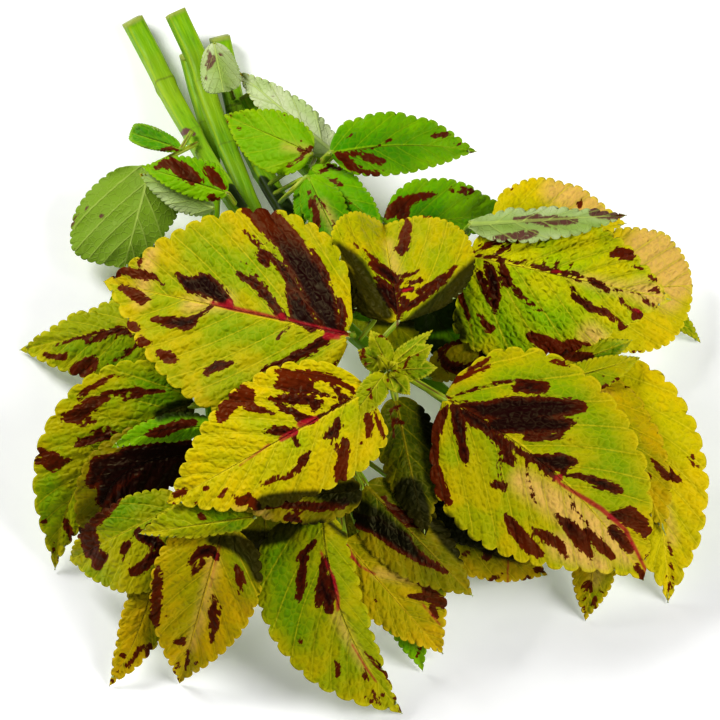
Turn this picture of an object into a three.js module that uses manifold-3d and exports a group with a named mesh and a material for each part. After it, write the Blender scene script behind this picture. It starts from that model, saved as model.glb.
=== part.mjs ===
// A freshly cut bunch of coleus, lying on a table: six square stems whose cut ends come
// together at the back, with leaves that fan out and hang down to the table in front.
//
// Units are millimetres, +Z is up, the table is z = 0, and the cut ends point to +Y.
// The origin is on the table, under the middle of the bunch.
//
// The leaves of a bunch lie on each other like roof tiles. They are laid out here on a
// laying plane that leans over the bunch: u runs to the right, v up the lean, and w
// straight out of the plane. A leaf is drawn by its outline in that plane and by its
// height above the table. The pile is then built from the bottom up, and each piece
// is lifted along w just enough to clear what already lies under it.

import * as THREE from 'three';
import Module from 'manifold-3d';
import { mergeVertices } from 'three/addons/utils/BufferGeometryUtils.js';

const wasm = await Module();
wasm.setup();

// ---- Driving dimensions ----

const LEAN = THREE.MathUtils.degToRad( 60 ); // the laying plane's normal, above the table
const STEM_SIDE = 8.5; // width of the square stem at its cut end
const STEM_TAPER = 0.62; // width at the top of the stem, as a share of that
const BLADE = 0.8; // thickness of a leaf's blade
const TOOTH = 0.022; // depth of the margin's teeth, as a share of the leaf's length
const STALK = 1.5; // radius of a full-grown leaf's stalk
const SMALL_STALK = 1.0; // radius of a young leaf's stalk
const FULL_GROWN = 55; // a leaf at least this long has a thick stalk and many teeth
const HALF_GROWN = 30; // a leaf at least this long has a fair number of teeth
const CLEARANCE = 0.5; // between pieces that lie on each other, along w
const SEAT = 0.3; // between a leaf's stalk and its stem
const LEAF_BEND = 0.35; // how steeply a leaf climbs over what lies under it
const STEM_BEND = 0.2; // the same for a stem
const YOUNG_BEND = 0.6; // and for a young leaf at the growing tip

const COLOURS = {
	stem: 0x86b032,
	gold: 0xb9b41c,
	green: 0x6aa01e,
	maroon: 0x5a2418,
	pale: 0xb4c08a,
	tip: 0xa8b42a,
};
const STEM_ROUGHNESS = 0.55;
const LEAF_ROUGHNESS = 0.5;

// ---- The stems: points [ u, v, height of the stem's middle ], from the cut end ----

const LOW = STEM_SIDE / 2; // height of the middle of a stem that lies flat on the table

const LOWER_STEMS = {
	stem_low: [
		[ - 69, 124, LOW ], [ - 66, 112, LOW ], [ - 61, 92, 7 ], [ - 60, 62, 14 ],
		[ - 62, 30, 24 ], [ - 60, 0, 32 ], [ - 58, - 30, 36 ], [ - 52, - 52, 38 ],
	],
	stem_right: [
		[ - 57, 131, LOW ], [ - 53.5, 116, LOW ], [ - 47, 92, 8 ], [ - 30, 60, 18 ],
		[ - 5, 24, 28 ], [ 24, - 6, 34 ], [ 52, - 26, 38 ], [ 76, - 36, 36 ],
	],
	stem_back: [
		[ - 34, 97, LOW ], [ - 28, 86, 6 ], [ - 12, 70, 14 ], [ 4, 56, 24 ],
		[ 26, 45, 35 ], [ 48, 38, 43 ], [ 72, 29, 39 ],
	],
	stem_middle: [
		[ - 75, 141, 13.5 ], [ - 66, 122, 14 ], [ - 60, 102, 16 ], [ - 48, 72, 21 ],
		[ - 34, 36, 26 ], [ - 22, 0, 34 ], [ - 14, - 28, 42 ], [ - 10, - 50, 46 ],
	],
	stem_short: [ [ - 45, 108, 16 ], [ - 39, 97, 18 ], [ - 29, 86, 22 ], [ - 15, 80, 28 ] ],
};

const TOP_STEM = [
	[ - 92.5, 138, LOW ], [ - 84, 122, LOW ], [ - 76, 106, 7 ], [ - 68, 92, 14 ], [ - 60, 78, 24 ],
	[ - 41, 50, 42 ], [ - 20, 26, 56 ], [ 2, 6, 68 ], [ 11, - 3, 77 ],
];

// ---- The leaves, from the bottom of the pile to the top ----
//
// from, to   where the blade starts and its tip, as [ u, v ]
// wide       half widths to the left and right of the midrib
// high       height above the table at the start and at the tip
// stem       the stem that carries it, where that isn't the nearest one
// bow        how far the midrib curves to the left
// arch       how far its middle stands out of the plane
// fall       how far the left and right margins fall back from the midrib
// sweep      how far the side veins run forward, left and right
// lobe       how far the blade reaches back past its start, left and right
// blunt      how quickly the left and right margins run in to the tip: lower is blunter
// tone       its colour, where that isn't gold

const FLAT_LEAF = {
	stem: null,
	bow: 0,
	arch: 2,
	fall: [ 4, 4 ],
	sweep: [ 0.14, 0.14 ],
	lobe: [ 0.03, 0.03 ],
	blunt: [ 1.4, 1.4 ],
	tone: 'gold',
};

// Under the top stem.
const UNDER_LEAVES = [
	{
		name: 'leaf_under_left', from: [ - 69, 43 ], to: [ - 101, 24 ], wide: [ 11, 10 ], high: [ 24, 1 ],
		tone: 'green',
	},
	{
		name: 'leaf_under_back', from: [ 12, 57 ], to: [ 52, 66 ], wide: [ 7, 10 ], high: [ 36, 4 ],
		tone: 'green',
	},
	{
		name: 'leaf_under_heart', from: [ - 18, 42 ], to: [ 26, 4 ], wide: [ 15, 17 ], high: [ 34, 46 ],
		fall: [ 2, 6 ], tone: 'green',
	},
	{
		name: 'leaf_under_middle', from: [ 22, 30 ], to: [ 54, - 16 ], wide: [ 14, 10 ], high: [ 46, 44 ],
		tone: 'green',
	},
	{
		name: 'leaf_under_front',
		from: [ - 38, - 54 ], to: [ - 37, - 98 ], wide: [ 14, 14 ], high: [ 46, 6 ],
		tone: 'maroon',
	},
	{
		name: 'leaf_under_low',
		from: [ - 8, - 46 ], to: [ 0, - 98 ], wide: [ 13, 12 ], high: [ 50, 8 ],
		tone: 'maroon',
	},
];

// Over it.
const LEAVES = [
	{
		name: 'leaf_right_hook', from: [ 106, 22 ], to: [ 137, 7 ], wide: [ 5, 4 ], high: [ 22, 1 ],
		bow: 4, fall: [ 5, 5 ], tone: 'green',
	},
	{
		name: 'leaf_right_pale', from: [ 80, 28 ], to: [ 134, 30 ], wide: [ 24, 26 ], high: [ 38, 2 ],
		arch: 6, fall: [ 20, 4 ], sweep: [ 0.22, 0.22 ], blunt: [ 0.9, 0.9 ],
	},
	{
		name: 'leaf_back_long', from: [ 10, 54 ], to: [ 61, 59 ], wide: [ 17, 9 ], high: [ 40, 20 ],
		arch: 4, fall: [ 10, 2 ], tone: 'green',
	},
	{
		name: 'leaf_back_pale', from: [ 52, 50 ], to: [ 107, 55 ], wide: [ 21, 10 ], high: [ 44, 12 ],
		arch: 4, fall: [ 12, 6 ],
	},
	{
		name: 'leaf_turned_wide', from: [ - 84, 78 ], to: [ - 95, 37 ], wide: [ 15, 25 ], high: [ 26, 1 ],
		arch: 4, fall: [ 2, 10 ], sweep: [ 0.1, 0.38 ], blunt: [ 1.4, 0.9 ], tone: 'pale',
	},
	{
		name: 'leaf_ear', from: [ - 72, 85 ], to: [ - 93, 92 ], wide: [ 4, 5 ], high: [ 32, 16 ],
		sweep: [ 0.3, 0.3 ], blunt: [ 0.8, 0.8 ], tone: 'green',
	},
	{
		name: 'leaf_turned_small', from: [ - 59, 61 ], to: [ - 89, 75 ], wide: [ 7, 5 ], high: [ 42, 26 ],
		arch: 2, tone: 'pale',
	},
	{
		name: 'leaf_banded', from: [ - 53, 67 ], to: [ - 88, 78 ], wide: [ 6, 10 ], high: [ 46, 30 ],
		arch: 3, fall: [ 2, 8 ], tone: 'green',
	},
	{
		name: 'leaf_turned_long', from: [ - 10, 83 ], to: [ - 50, 117 ], wide: [ 8, 8 ], high: [ 36, 22 ],
		arch: 3, fall: [ 2, 6 ], tone: 'pale',
	},
	{
		name: 'leaf_cut_end', from: [ - 59, 128 ], to: [ - 55, 108 ], wide: [ 8, 8 ], high: [ 32, 34 ],
		sweep: [ 0.3, 0.3 ], blunt: [ 0.8, 0.8 ], tone: 'pale',
	},
	{
		name: 'leaf_left_point', from: [ - 72, 18 ], to: [ - 137, 4 ], wide: [ 20, 11 ], high: [ 42, 1 ],
		arch: 5, fall: [ 5, 14 ],
	},
	{
		name: 'leaf_left_outer',
		from: [ - 66, - 18 ], to: [ - 122, - 84 ], wide: [ 16, 27 ], high: [ 44, 1 ],
		bow: - 16, arch: 8, sweep: [ 0.14, 0.08 ],
	},
	{
		name: 'leaf_left_dark',
		from: [ - 65, - 38 ], to: [ - 108, - 80 ], wide: [ 14, 15 ], high: [ 48, 3 ],
		bow: - 15, arch: 10, tone: 'maroon',
	},
	{
		name: 'leaf_left_sliver',
		from: [ - 57, - 27 ], to: [ - 99, - 35 ], wide: [ 5, 6 ], high: [ 56, 34 ],
		bow: - 3,
	},
	{
		name: 'leaf_front_curled',
		from: [ - 80, - 76 ], to: [ - 100, - 130 ], wide: [ 10, 9 ], high: [ 36, 0 ],
		bow: 3.5, arch: 3,
	},
	{
		name: 'leaf_left_front',
		from: [ - 70, - 56 ], to: [ - 116, - 80 ], wide: [ 26, 12 ], high: [ 50, 8 ],
		arch: 6, fall: [ 3, 4 ], blunt: [ 1, 1 ],
	},
	{
		name: 'leaf_front_low', from: [ 29, - 67 ], to: [ 75, - 86 ], wide: [ 14, 12 ], high: [ 34, 3 ],
		arch: 5, tone: 'maroon',
	},
	{
		name: 'leaf_front_fang', from: [ 96, - 62 ], to: [ 90, - 104 ], wide: [ 10, 9 ], high: [ 32, 0 ],
		arch: 3,
	},
	{
		name: 'leaf_right_hanging',
		from: [ 93, - 2 ], to: [ 123, - 97 ], wide: [ 24, 20 ], high: [ 40, 0 ],
		bow: 8, arch: 12,
	},
	{
		name: 'leaf_right_tucked',
		from: [ 84, - 6 ], to: [ 122, - 70 ], wide: [ 15, 10 ], high: [ 46, 22 ],
		bow: 4, arch: 5,
	},
	{
		name: 'leaf_front_green', from: [ 6, - 84 ], to: [ 25, - 124 ], wide: [ 8, 8 ], high: [ 34, 1 ],
		bow: 2, tone: 'green',
	},
	{
		name: 'leaf_front_right',
		from: [ - 6, - 72 ], to: [ 33, - 117 ], wide: [ 23, 13 ], high: [ 50, 2 ],
		arch: 8,
	},
	{
		name: 'leaf_front_dark', from: [ 16, - 50 ], to: [ 58, - 76 ], wide: [ 9, 9 ], high: [ 54, 26 ],
		arch: 4, tone: 'maroon',
	},
	{
		name: 'leaf_front_olive', from: [ 2, - 49 ], to: [ 45, - 94 ], wide: [ 12, 17 ], high: [ 60, 24 ],
		arch: 4,
	},
	{
		name: 'leaf_front_long',
		from: [ - 15, - 58 ], to: [ 17, - 141 ], wide: [ 10, 30 ], high: [ 62, 0 ],
		bow: - 8, arch: 8, fall: [ 12, 6 ],
	},
	{
		name: 'leaf_front_gold',
		from: [ - 54, - 65 ], to: [ - 72, - 129 ], wide: [ 21, 22 ], high: [ 58, 0 ],
		arch: 8,
	},
	{ name: 'leaf_spout', from: [ - 41, - 62 ], to: [ - 88, - 69 ], wide: [ 5, 12 ], high: [ 60, 38 ] },
	{
		name: 'leaf_front_brown',
		from: [ 1, - 51 ], to: [ - 50, - 58 ], wide: [ 11, 6 ], high: [ 68, 54 ],
		tone: 'maroon',
	},
	{
		name: 'leaf_collar', from: [ 28, - 7 ], to: [ 62, 1 ], wide: [ 10, 5 ], high: [ 48, 50 ],
		bow: 2, tone: 'green',
	},
	{
		name: 'leaf_right_fold', from: [ 74, - 5 ], to: [ 109, 8 ], wide: [ 6, 7 ], high: [ 50, 34 ],
		fall: [ 5, 2 ],
	},
	{
		name: 'leaf_right_spear', from: [ 80, - 8 ], to: [ 112, 1 ], wide: [ 5, 8 ], high: [ 50, 32 ],
		fall: [ 5, 2 ],
	},
	{
		name: 'leaf_heart_shade',
		from: [ 14, - 15 ], to: [ 26, - 70 ], wide: [ 13, 11 ], high: [ 74, 50 ],
		stem: 'stem_left', arch: 3, tone: 'green',
	},
	{
		name: 'leaf_back_striped', from: [ - 20, 77 ], to: [ 10, 52 ], wide: [ 9, 8 ], high: [ 40, 42 ],
		arch: 2, tone: 'green',
	},
	{
		name: 'leaf_back_green', from: [ - 12, 83 ], to: [ 47, 84 ], wide: [ 13, 12 ], high: [ 44, 18 ],
		bow: 3, arch: 4, fall: [ 8, 2 ], tone: 'green',
	},
	{
		name: 'leaf_back_lime',
		from: [ - 19, 83 ], to: [ - 55, 99 ], wide: [ 14, 10.5 ], high: [ 46.5, 34 ],
		arch: 3, fall: [ 2, 6 ], tone: 'green',
	},
	{
		name: 'leaf_sprig', from: [ - 23, 73 ], to: [ - 24, 51 ], wide: [ 3.5, 3.5 ], high: [ 44, 46 ],
		tone: 'green',
	},
	{
		name: 'leaf_inner_dark', from: [ - 21, 74 ], to: [ - 3, 36 ], wide: [ 9, 8 ], high: [ 46, 56 ],
		tone: 'green',
	},
	{
		name: 'leaf_inner_green', from: [ 6, 16 ], to: [ - 9, 50 ], wide: [ 10, 11 ], high: [ 72, 58 ],
		stem: 'stem_left', tone: 'green',
	},
	{
		name: 'leaf_right_quilted',
		from: [ 44, 42 ], to: [ 125.5, 24 ], wide: [ 25, 37 ], high: [ 66, 30 ],
		arch: 6, fall: [ 14, 8 ], sweep: [ 0.14, 0.08 ], lobe: [ 0, 0.16 ],
	},
	{
		name: 'leaf_turned_edge', from: [ 44, 54 ], to: [ 107, 58 ], wide: [ 5, 8 ], high: [ 62, 36 ],
		fall: [ 10, - 2 ], tone: 'pale',
	},
	{
		name: 'leaf_heart', from: [ 15, 15 ], to: [ 9.5, 53.5 ], wide: [ 23, 34 ], high: [ 86, 72 ],
		stem: 'stem_left', arch: 6, fall: [ 8, 8 ], sweep: [ 0.6, 0.42 ],
	},
	{
		name: 'leaf_great_right',
		from: [ 33, - 15 ], to: [ 113, - 88 ], wide: [ 38, 41 ], high: [ 84, 22 ],
		stem: 'stem_left', bow: 8, arch: 8, fall: [ 14, 5 ], sweep: [ 0.08, 0.14 ], blunt: [ 1.15, 1.4 ],
	},
	{
		name: 'leaf_great_left',
		from: [ - 4.5, 10 ], to: [ - 103, 31.5 ], wide: [ 42, 42 ], high: [ 84, 44 ],
		stem: 'stem_left', arch: 8, fall: [ 5, 20 ],
	},
	{
		name: 'leaf_great_front',
		from: [ 3, - 12 ], to: [ - 77, - 57 ], wide: [ 26.5, 26.5 ], high: [ 90, 50 ],
		stem: 'stem_left', arch: 6, lobe: [ 0.14, 0 ],
	},
];

// ---- The growing tip: young leaves round the top of the top stem, joined to it ----

const TIP = [ 11, - 4 ];
const TIP_RISE = 9; // how far the growing tip stands out of its stem
const TIP_RADII = [ 2.6, 2.8, 1.6 ];
const YOUNG_LEAF = { arch: 1.5, fall: [ 1.5, 1.5 ] };

// out is how far a young leaf's start and tip stand out of the stem, along w.
const YOUNG_LEAVES = [
	{ from: [ 10, - 2 ], to: [ - 1, 4 ], wide: [ 5, 5 ], out: [ 5, 6 ] },
	{ from: [ 11, - 2 ], to: [ 4, 12 ], wide: [ 4, 5 ], out: [ 6, 9 ] },
	{ from: [ 12, - 2 ], to: [ 29, 12 ], wide: [ 3, 3 ], out: [ 5, 7 ] },
	{ from: [ 12, - 3 ], to: [ 29, 6 ], wide: [ 5, 6 ], out: [ 6, 9 ] },
	{ from: [ 12, - 4 ], to: [ 31, - 3 ], wide: [ 5, 5 ], out: [ 5, 6 ] },
	{ from: [ 10, - 5 ], to: [ - 4, - 24 ], wide: [ 6, 5 ], out: [ 5, 6 ] },
	{ from: [ 12, - 5 ], to: [ 20, - 14 ], wide: [ 4, 4 ], out: [ 6, 8 ] },
	{ from: [ 11, - 5 ], to: [ 14, - 13 ], wide: [ 3, 3 ], out: [ 8, 11 ] },
	{ from: [ 11, - 4 ], to: [ 7, 2 ], wide: [ 2.5, 2.5 ], out: [ 9, 14 ] },
	{ from: [ 11, - 4 ], to: [ 15, - 1 ], wide: [ 2.5, 2.5 ], out: [ 9, 13 ] },
];

// ---- The laying plane ----

const SIN = Math.sin( LEAN );
const COS = Math.cos( LEAN );
const lerp = ( a, b, share ) => a + ( b - a ) * share;
const mix = ( a, b, share ) => a.map( ( value, i ) => lerp( value, b[ i ], share ) );

// A point [ u, v, w ] of the plane in the part's frame, and back.
const place = ( [ u, v, w ] ) => new THREE.Vector3( u, v * SIN - w * COS, v * COS + w * SIN );
const planeOf = ( point ) => [
	point.x,
	point.y * SIN + point.z * COS,
	point.z * SIN - point.y * COS,
];

// The w of a point at v that stands z above the table.
const outOf = ( v, z ) => ( z - v * COS ) / SIN;

// ---- The pile ----
//
// top holds the highest w so far over each cell of the plane, and owner the piece that reaches it.

const CELL = 1.1;
const REACH = 170;
const CELLS = Math.ceil( 2 * REACH / CELL );
const SAMPLE = 0.7 * CELL; // spacing of the points that are tried on a triangle
const ENOUGH = 1e-6; // a lift smaller than this is none
const PASSES = 20;

const top = new Float64Array( CELLS * CELLS ).fill( - Infinity );
const owner = new Array( CELLS * CELLS ).fill( '' );

const clampCell = ( i ) => Math.min( CELLS - 1, Math.max( 0, i ) );

function cellAt( u, v ) {

	const i = clampCell( Math.floor( ( u + REACH ) / CELL ) );
	const j = clampCell( Math.floor( ( v + REACH ) / CELL ) );
	return j * CELLS + i;

}

// The pile as a new piece meets it: each cell takes the highest of itself and its neighbours.
function spreadTop() {

	const wide = new Float64Array( top.length );
	for ( let j = 0; j < CELLS; j ++ ) {

		for ( let i = 0; i < CELLS; i ++ ) {

			let best = - Infinity;
			for ( let b = clampCell( j - 1 ); b <= clampCell( j + 1 ); b ++ ) {

				for ( let a = clampCell( i - 1 ); a <= clampCell( i + 1 ); a ++ ) {

					best = Math.max( best, top[ b * CELLS + a ] );

				}

			}

			wide[ j * CELLS + i ] = best;

		}

	}

	return wide;

}

const flatLength = ( p, q ) => Math.hypot( p[ 0 ] - q[ 0 ], p[ 1 ] - q[ 1 ] );

// Calls visit( u, v, w ) at points spread closely over a triangle of [ u, v, w ] corners.
function sampleTriangle( [ a, b, c ], visit ) {

	const longest = Math.max( flatLength( a, b ), flatLength( b, c ), flatLength( c, a ) );
	const steps = Math.max( 1, Math.ceil( longest / SAMPLE ) );
	for ( let i = 0; i <= steps; i ++ ) {

		for ( let j = 0; j <= steps - i; j ++ ) {

			const p = i / steps;
			const q = j / steps;
			const r = 1 - p - q;
			visit( ...[ 0, 1, 2 ].map( ( k ) => a[ k ] * r + b[ k ] * p + c[ k ] * q ) );

		}

	}

}

const cornersOf = ( triangle, points ) => triangle.map( ( k ) => points[ k ].at );

// Adds a laid piece to the pile.
function cover( name, points, triangles ) {

	for ( const triangle of triangles ) {

		sampleTriangle( cornersOf( triangle, points ), ( u, v, w ) => {

			const cell = cellAt( u, v );
			if ( w <= top[ cell ] ) return;
			top[ cell ] = w;
			owner[ cell ] = name;

		} );

	}

}

// How far each ring of a piece must rise to clear the pile and the table.
function liftsNeeded( piece, points, under ) {

	const needed = new Array( piece.rings.length ).fill( 0 );
	for ( const triangle of piece.triangles ) {

		let worst = 0;
		sampleTriangle( cornersOf( triangle, points ), ( u, v, w ) => {

			const clear = Math.max( under[ cellAt( u, v ) ] + CLEARANCE, outOf( v, 0 ) );
			worst = Math.max( worst, clear - w );

		} );
		for ( const k of triangle ) {

			const ring = points[ k ].ring;
			needed[ ring ] = Math.max( needed[ ring ], worst );

		}

	}

	return needed;

}

// Lays a piece on the pile. A piece has rings, which are what is lifted: single points on a
// blade, and the points round it on a stem. piece.build( lifts ) gives its points, each with
// its ring, and a lift fades away over the rings near by, so that the piece bends.
function layOnPile( piece ) {

	const under = spreadTop();
	const lifts = new Array( piece.rings.length ).fill( 0 );
	let points = piece.build( lifts );
	for ( let pass = 0; pass < PASSES; pass ++ ) {

		const needed = liftsNeeded( piece, points, under );
		if ( Math.max( ...needed ) < ENOUGH ) break;
		const wanted = lifts.map( ( lift, k ) => lift + needed[ k ] );
		piece.rings.forEach( ( ring, k ) => {

			piece.rings.forEach( ( other, m ) => {

				lifts[ k ] = Math.max( lifts[ k ], wanted[ m ] - piece.bend * flatLength( ring, other ) );

			} );

		} );
		points = piece.build( lifts );

	}

	cover( piece.name, points, piece.triangles );
	return { points, lifts };

}

const lifted = ( point, lift ) => [ point[ 0 ], point[ 1 ], point[ 2 ] + lift ];

// ---- Tubes: stems and leaf stalks ----

const STEM_SIDES = 4;
const STALK_SIDES = 5;
const UP = new THREE.Vector3( 0, 0, 1 );

// The corners of a tube along a path of [ u, v, w ], each with the ring it belongs to.
function tubeCorners( path, radii, sides ) {

	const line = path.map( place );
	return line.flatMap( ( here, k ) => {

		const before = line[ Math.max( 0, k - 1 ) ];
		const after = line[ Math.min( line.length - 1, k + 1 ) ];
		const along = after.clone().sub( before ).normalize();
		const side = along.clone().cross( UP ).normalize();
		const over = side.clone().cross( along ).normalize();
		return Array.from( { length: sides }, ( _, s ) => {

			const angle = 2 * Math.PI * ( s + 0.5 ) / sides;
			const corner = here.clone();
			corner.addScaledVector( side, Math.cos( angle ) * radii[ k ] );
			corner.addScaledVector( over, Math.sin( angle ) * radii[ k ] );
			return { at: planeOf( corner ), ring: k };

		} );

	} );

}

function tubeTriangles( rings, sides ) {

	const triangles = [];
	for ( let k = 0; k + 1 < rings; k ++ ) {

		for ( let s = 0; s < sides; s ++ ) {

			const a = k * sides + s;
			const b = k * sides + ( s + 1 ) % sides;
			triangles.push( [ a, a + sides, b ], [ b, a + sides, b + sides ] );

		}

	}

	const last = ( rings - 1 ) * sides;
	for ( let s = 1; s + 1 < sides; s ++ ) {

		triangles.push( [ 0, s, s + 1 ], [ last, last + s + 1, last + s ] );

	}

	return triangles;

}

// ---- Stems ----

const STEM_STEPS = 3; // rings from one point of a stem to the next

// A stem as a piece for the pile. Its cut stretch, up to its second point, is straight.
function stemPiece( name, points ) {

	const through = points.map( ( [ u, v, z ] ) => place( [ u, v, outOf( v, z ) ] ) );
	const curve = new THREE.CatmullRomCurve3( through, false, 'centripetal' );
	const steps = STEM_STEPS * ( points.length - 1 );
	const line = curve.getPoints( steps );
	for ( let k = 0; k <= STEM_STEPS; k ++ ) {

		line[ k ] = through[ 0 ].clone().lerp( through[ 1 ], k / STEM_STEPS );

	}

	const rings = line.map( planeOf );
	const radii = rings.map( ( _, k ) => {

		const grown = Math.max( 0, k - STEM_STEPS ) / ( steps - STEM_STEPS );
		return STEM_SIDE / Math.SQRT2 * lerp( 1, STEM_TAPER, grown );

	} );
	const build = ( lifts ) => {

		const path = rings.map( ( ring, k ) => lifted( ring, lifts[ k ] ) );
		return tubeCorners( path, radii, STEM_SIDES );

	};

	return { name, rings, build, triangles: tubeTriangles( rings.length, STEM_SIDES ), bend: STEM_BEND };

}

// Places [ u, v ] along a stem where a leaf's stalk can start: anywhere past its cut stretch.
function stalkPlaces( rings ) {

	const leafy = rings.slice( STEM_STEPS + 1 );
	return leafy.flatMap( ( ring, k ) => {

		const next = leafy[ Math.min( k + 1, leafy.length - 1 ) ];
		return [ 0, 1 / 3, 2 / 3 ].map( ( share ) => mix( ring, next, share ).slice( 0, 2 ) );

	} );

}

// ---- A leaf's blade ----

const WIDE_BASE = 0.55; // how quickly a blade widens from its start: lower is rounder
const VEIN_CURVE = 1.6; // how the side veins turn forward towards the margin
const MIDDLE_ROW = 0.55; // where the row of points between midrib and margin runs

// The surface of a leaf: at( t, side, q ) is the point at t along the midrib and q of the way
// from it to the left (side 1) or right (side -1) margin, which tooth pushes in or out.
function leafShape( leaf ) {

	const { from, to, wide, high, bow, arch, fall, sweep, lobe, blunt } = leaf;
	const chord = [ to[ 0 ] - from[ 0 ], to[ 1 ] - from[ 1 ] ];
	const length = Math.hypot( ...chord );
	const ahead = chord.map( ( c ) => c / length );
	const left = [ - ahead[ 1 ], ahead[ 0 ] ];
	const starts = outOf( from[ 1 ], high[ 0 ] );
	const ends = outOf( to[ 1 ], high[ 1 ] );
	const shares = blunt.map( ( power ) => {

		const widest = WIDE_BASE / ( WIDE_BASE + power );
		const outline = ( t ) => t ** WIDE_BASE * ( 1 - t ) ** power;
		return ( t ) => outline( t ) / outline( widest );

	} );

	function at( t, side, q, tooth = 0 ) {

		const k = side > 0 ? 0 : 1;
		const slant = 4 * bow * ( 1 - 2 * t ) / length;
		const size = Math.hypot( 1, slant );
		const tangent = ahead.map( ( a, i ) => ( a + left[ i ] * slant ) / size );
		const across = [ - tangent[ 1 ] * side, tangent[ 0 ] * side ];
		const share = shares[ k ]( t );
		const bowed = 4 * bow * t * ( 1 - t );
		const reach = wide[ k ] * share * q + tooth;
		const back = 12 * lobe[ k ] * t * ( 1 - t ) ** 4;
		const forward = length * ( sweep[ k ] * Math.sin( Math.PI * t ) - back ) * q ** VEIN_CURVE;
		const flat = from.map( ( start, i ) => start + ahead[ i ] * length * t + left[ i ] * bowed );
		const drop = fall[ k ] * share * q ** VEIN_CURVE;
		return [
			...flat.map( ( value, i ) => value + tangent[ i ] * forward + across[ i ] * reach ),
			lerp( starts, ends, t ) + 4 * arch * t * ( 1 - t ) - drop,
		];

	}

	return { at, length };

}

// Fills the strip between two rows of { t, k } that share their first and last point.
function fillStrip( near, far, leftSide, triangles ) {

	let i = 0;
	let j = 0;
	while ( i < near.length - 1 || j < far.length - 1 ) {

		const nearNext = i < near.length - 1 && near[ i + 1 ].t <= far[ Math.min( j + 1, far.length - 1 ) ].t;
		const stepNear = j === far.length - 1 || nearNext;
		const third = stepNear ? near[ i + 1 ] : far[ j + 1 ];
		const corners = [ near[ i ].k, far[ j ].k, third.k ];
		if ( stepNear ) i ++;
		else j ++;
		if ( new Set( corners ).size < 3 ) continue;
		triangles.push( leftSide ? [ corners[ 0 ], corners[ 2 ], corners[ 1 ] ] : corners );

	}

}

function sizeClass( shape ) {

	if ( shape.length >= FULL_GROWN ) return { teeth: 10, rows: 7, stalk: STALK };
	if ( shape.length >= HALF_GROWN ) return { teeth: 7, rows: 5, stalk: SMALL_STALK };
	return { teeth: 4, rows: 3, stalk: SMALL_STALK };

}

// The points of a blade's upper face, its triangles, and its margin in order.
function bladeFace( shape ) {

	const { teeth, rows } = sizeClass( shape );
	const points = [ shape.at( 0, 1, 0 ), shape.at( 1, 1, 0 ) ];
	const row = ( side, q, steps, tooth ) => {

		const line = [ { t: 0, k: 0 } ];
		for ( let s = 1; s < steps; s ++ ) {

			const t = s / steps;
			line.push( { t, k: points.length } );
			points.push( shape.at( t, side, q, s % 2 ? tooth : - tooth ) );

		}

		return [ ...line, { t: 1, k: 1 } ];

	};

	const midrib = row( 1, 0, rows, 0 );
	const triangles = [];
	const margins = [ 1, - 1 ].map( ( side ) => {

		const middle = row( side, MIDDLE_ROW, rows, 0 );
		const margin = row( side, 1, 2 * teeth, TOOTH * shape.length / 2 );
		fillStrip( midrib, middle, side > 0, triangles );
		fillStrip( middle, margin, side > 0, triangles );
		return margin.map( ( p ) => p.k );

	} );
	const rim = [ ...margins[ 1 ], ...margins[ 0 ].slice( 1, - 1 ).reverse() ];
	return { points, triangles, rim };

}

// The triangles of a whole blade: its upper face, the same below, and the wall round the rim.
function bladeTriangles( face ) {

	const below = face.points.length;
	const lower = face.triangles.map( ( [ a, b, c ] ) => [ a + below, c + below, b + below ] );
	const triangles = [ ...face.triangles, ...lower ];
	face.rim.forEach( ( a, k ) => {

		const b = face.rim[ ( k + 1 ) % face.rim.length ];
		triangles.push( [ b, a, a + below ], [ b, a + below, b + below ] );

	} );
	return triangles;

}

// The lower face's points: the upper ones moved in by the blade's thickness.
function lowerFace( face, upper ) {

	const normals = upper.map( () => new THREE.Vector3() );
	for ( const [ a, b, c ] of face.triangles ) {

		const edge = upper[ b ].clone().sub( upper[ a ] );
		const normal = edge.cross( upper[ c ].clone().sub( upper[ a ] ) );
		for ( const k of [ a, b, c ] ) normals[ k ].add( normal );

	}

	return upper.map( ( point, k ) => point.clone().addScaledVector( normals[ k ].normalize(), - BLADE ) );

}

const SOCKET = 0.09; // length of the socket that a stalk ends in, as a share of the blade's
const STALK_END = 0.8; // the stalk's radius at the end of its socket, as a share of the rest
const FIRST_ON_MIDRIB = 2; // the number of the midrib's first point after the blade's start and tip

// A blade as a piece for the pile, with the socket set into it along the start of its midrib.
function bladePiece( name, shape, bend ) {

	const face = bladeFace( shape );
	const count = face.points.length;
	const { rows, stalk } = sizeClass( shape );
	const blade = bladeTriangles( face );
	const socket = tubeTriangles( 2, STALK_SIDES ).map( ( t ) => t.map( ( k ) => k + 2 * count ) );

	function socketAt( lifts ) {

		const along = lerp( lifts[ 0 ], lifts[ FIRST_ON_MIDRIB ], SOCKET * rows );
		return [ [ 0, lifts[ 0 ] ], [ SOCKET, along ] ].map( ( [ t, lift ] ) => {

			return lifted( shape.at( t, 1, 0 ), lift - stalk / 2 );

		} );

	}

	function build( lifts ) {

		const upper = face.points.map( ( p, k ) => place( lifted( p, lifts[ k ] ) ) );
		const faces = [ upper, lowerFace( face, upper ) ];
		const tube = tubeCorners( socketAt( lifts ), [ stalk, STALK_END * stalk ], STALK_SIDES );
		return [
			...faces.flatMap( ( side ) => side.map( ( p, k ) => ( { at: planeOf( p ), ring: k } ) ) ),
			...tube.map( ( corner ) => ( { at: corner.at, ring: 0 } ) ),
		];

	}

	const triangles = [ ...blade, ...socket ];
	return { name, rings: face.points, build, triangles, blade, socketAt, bend };

}

// ---- A leaf's stalk ----

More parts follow.
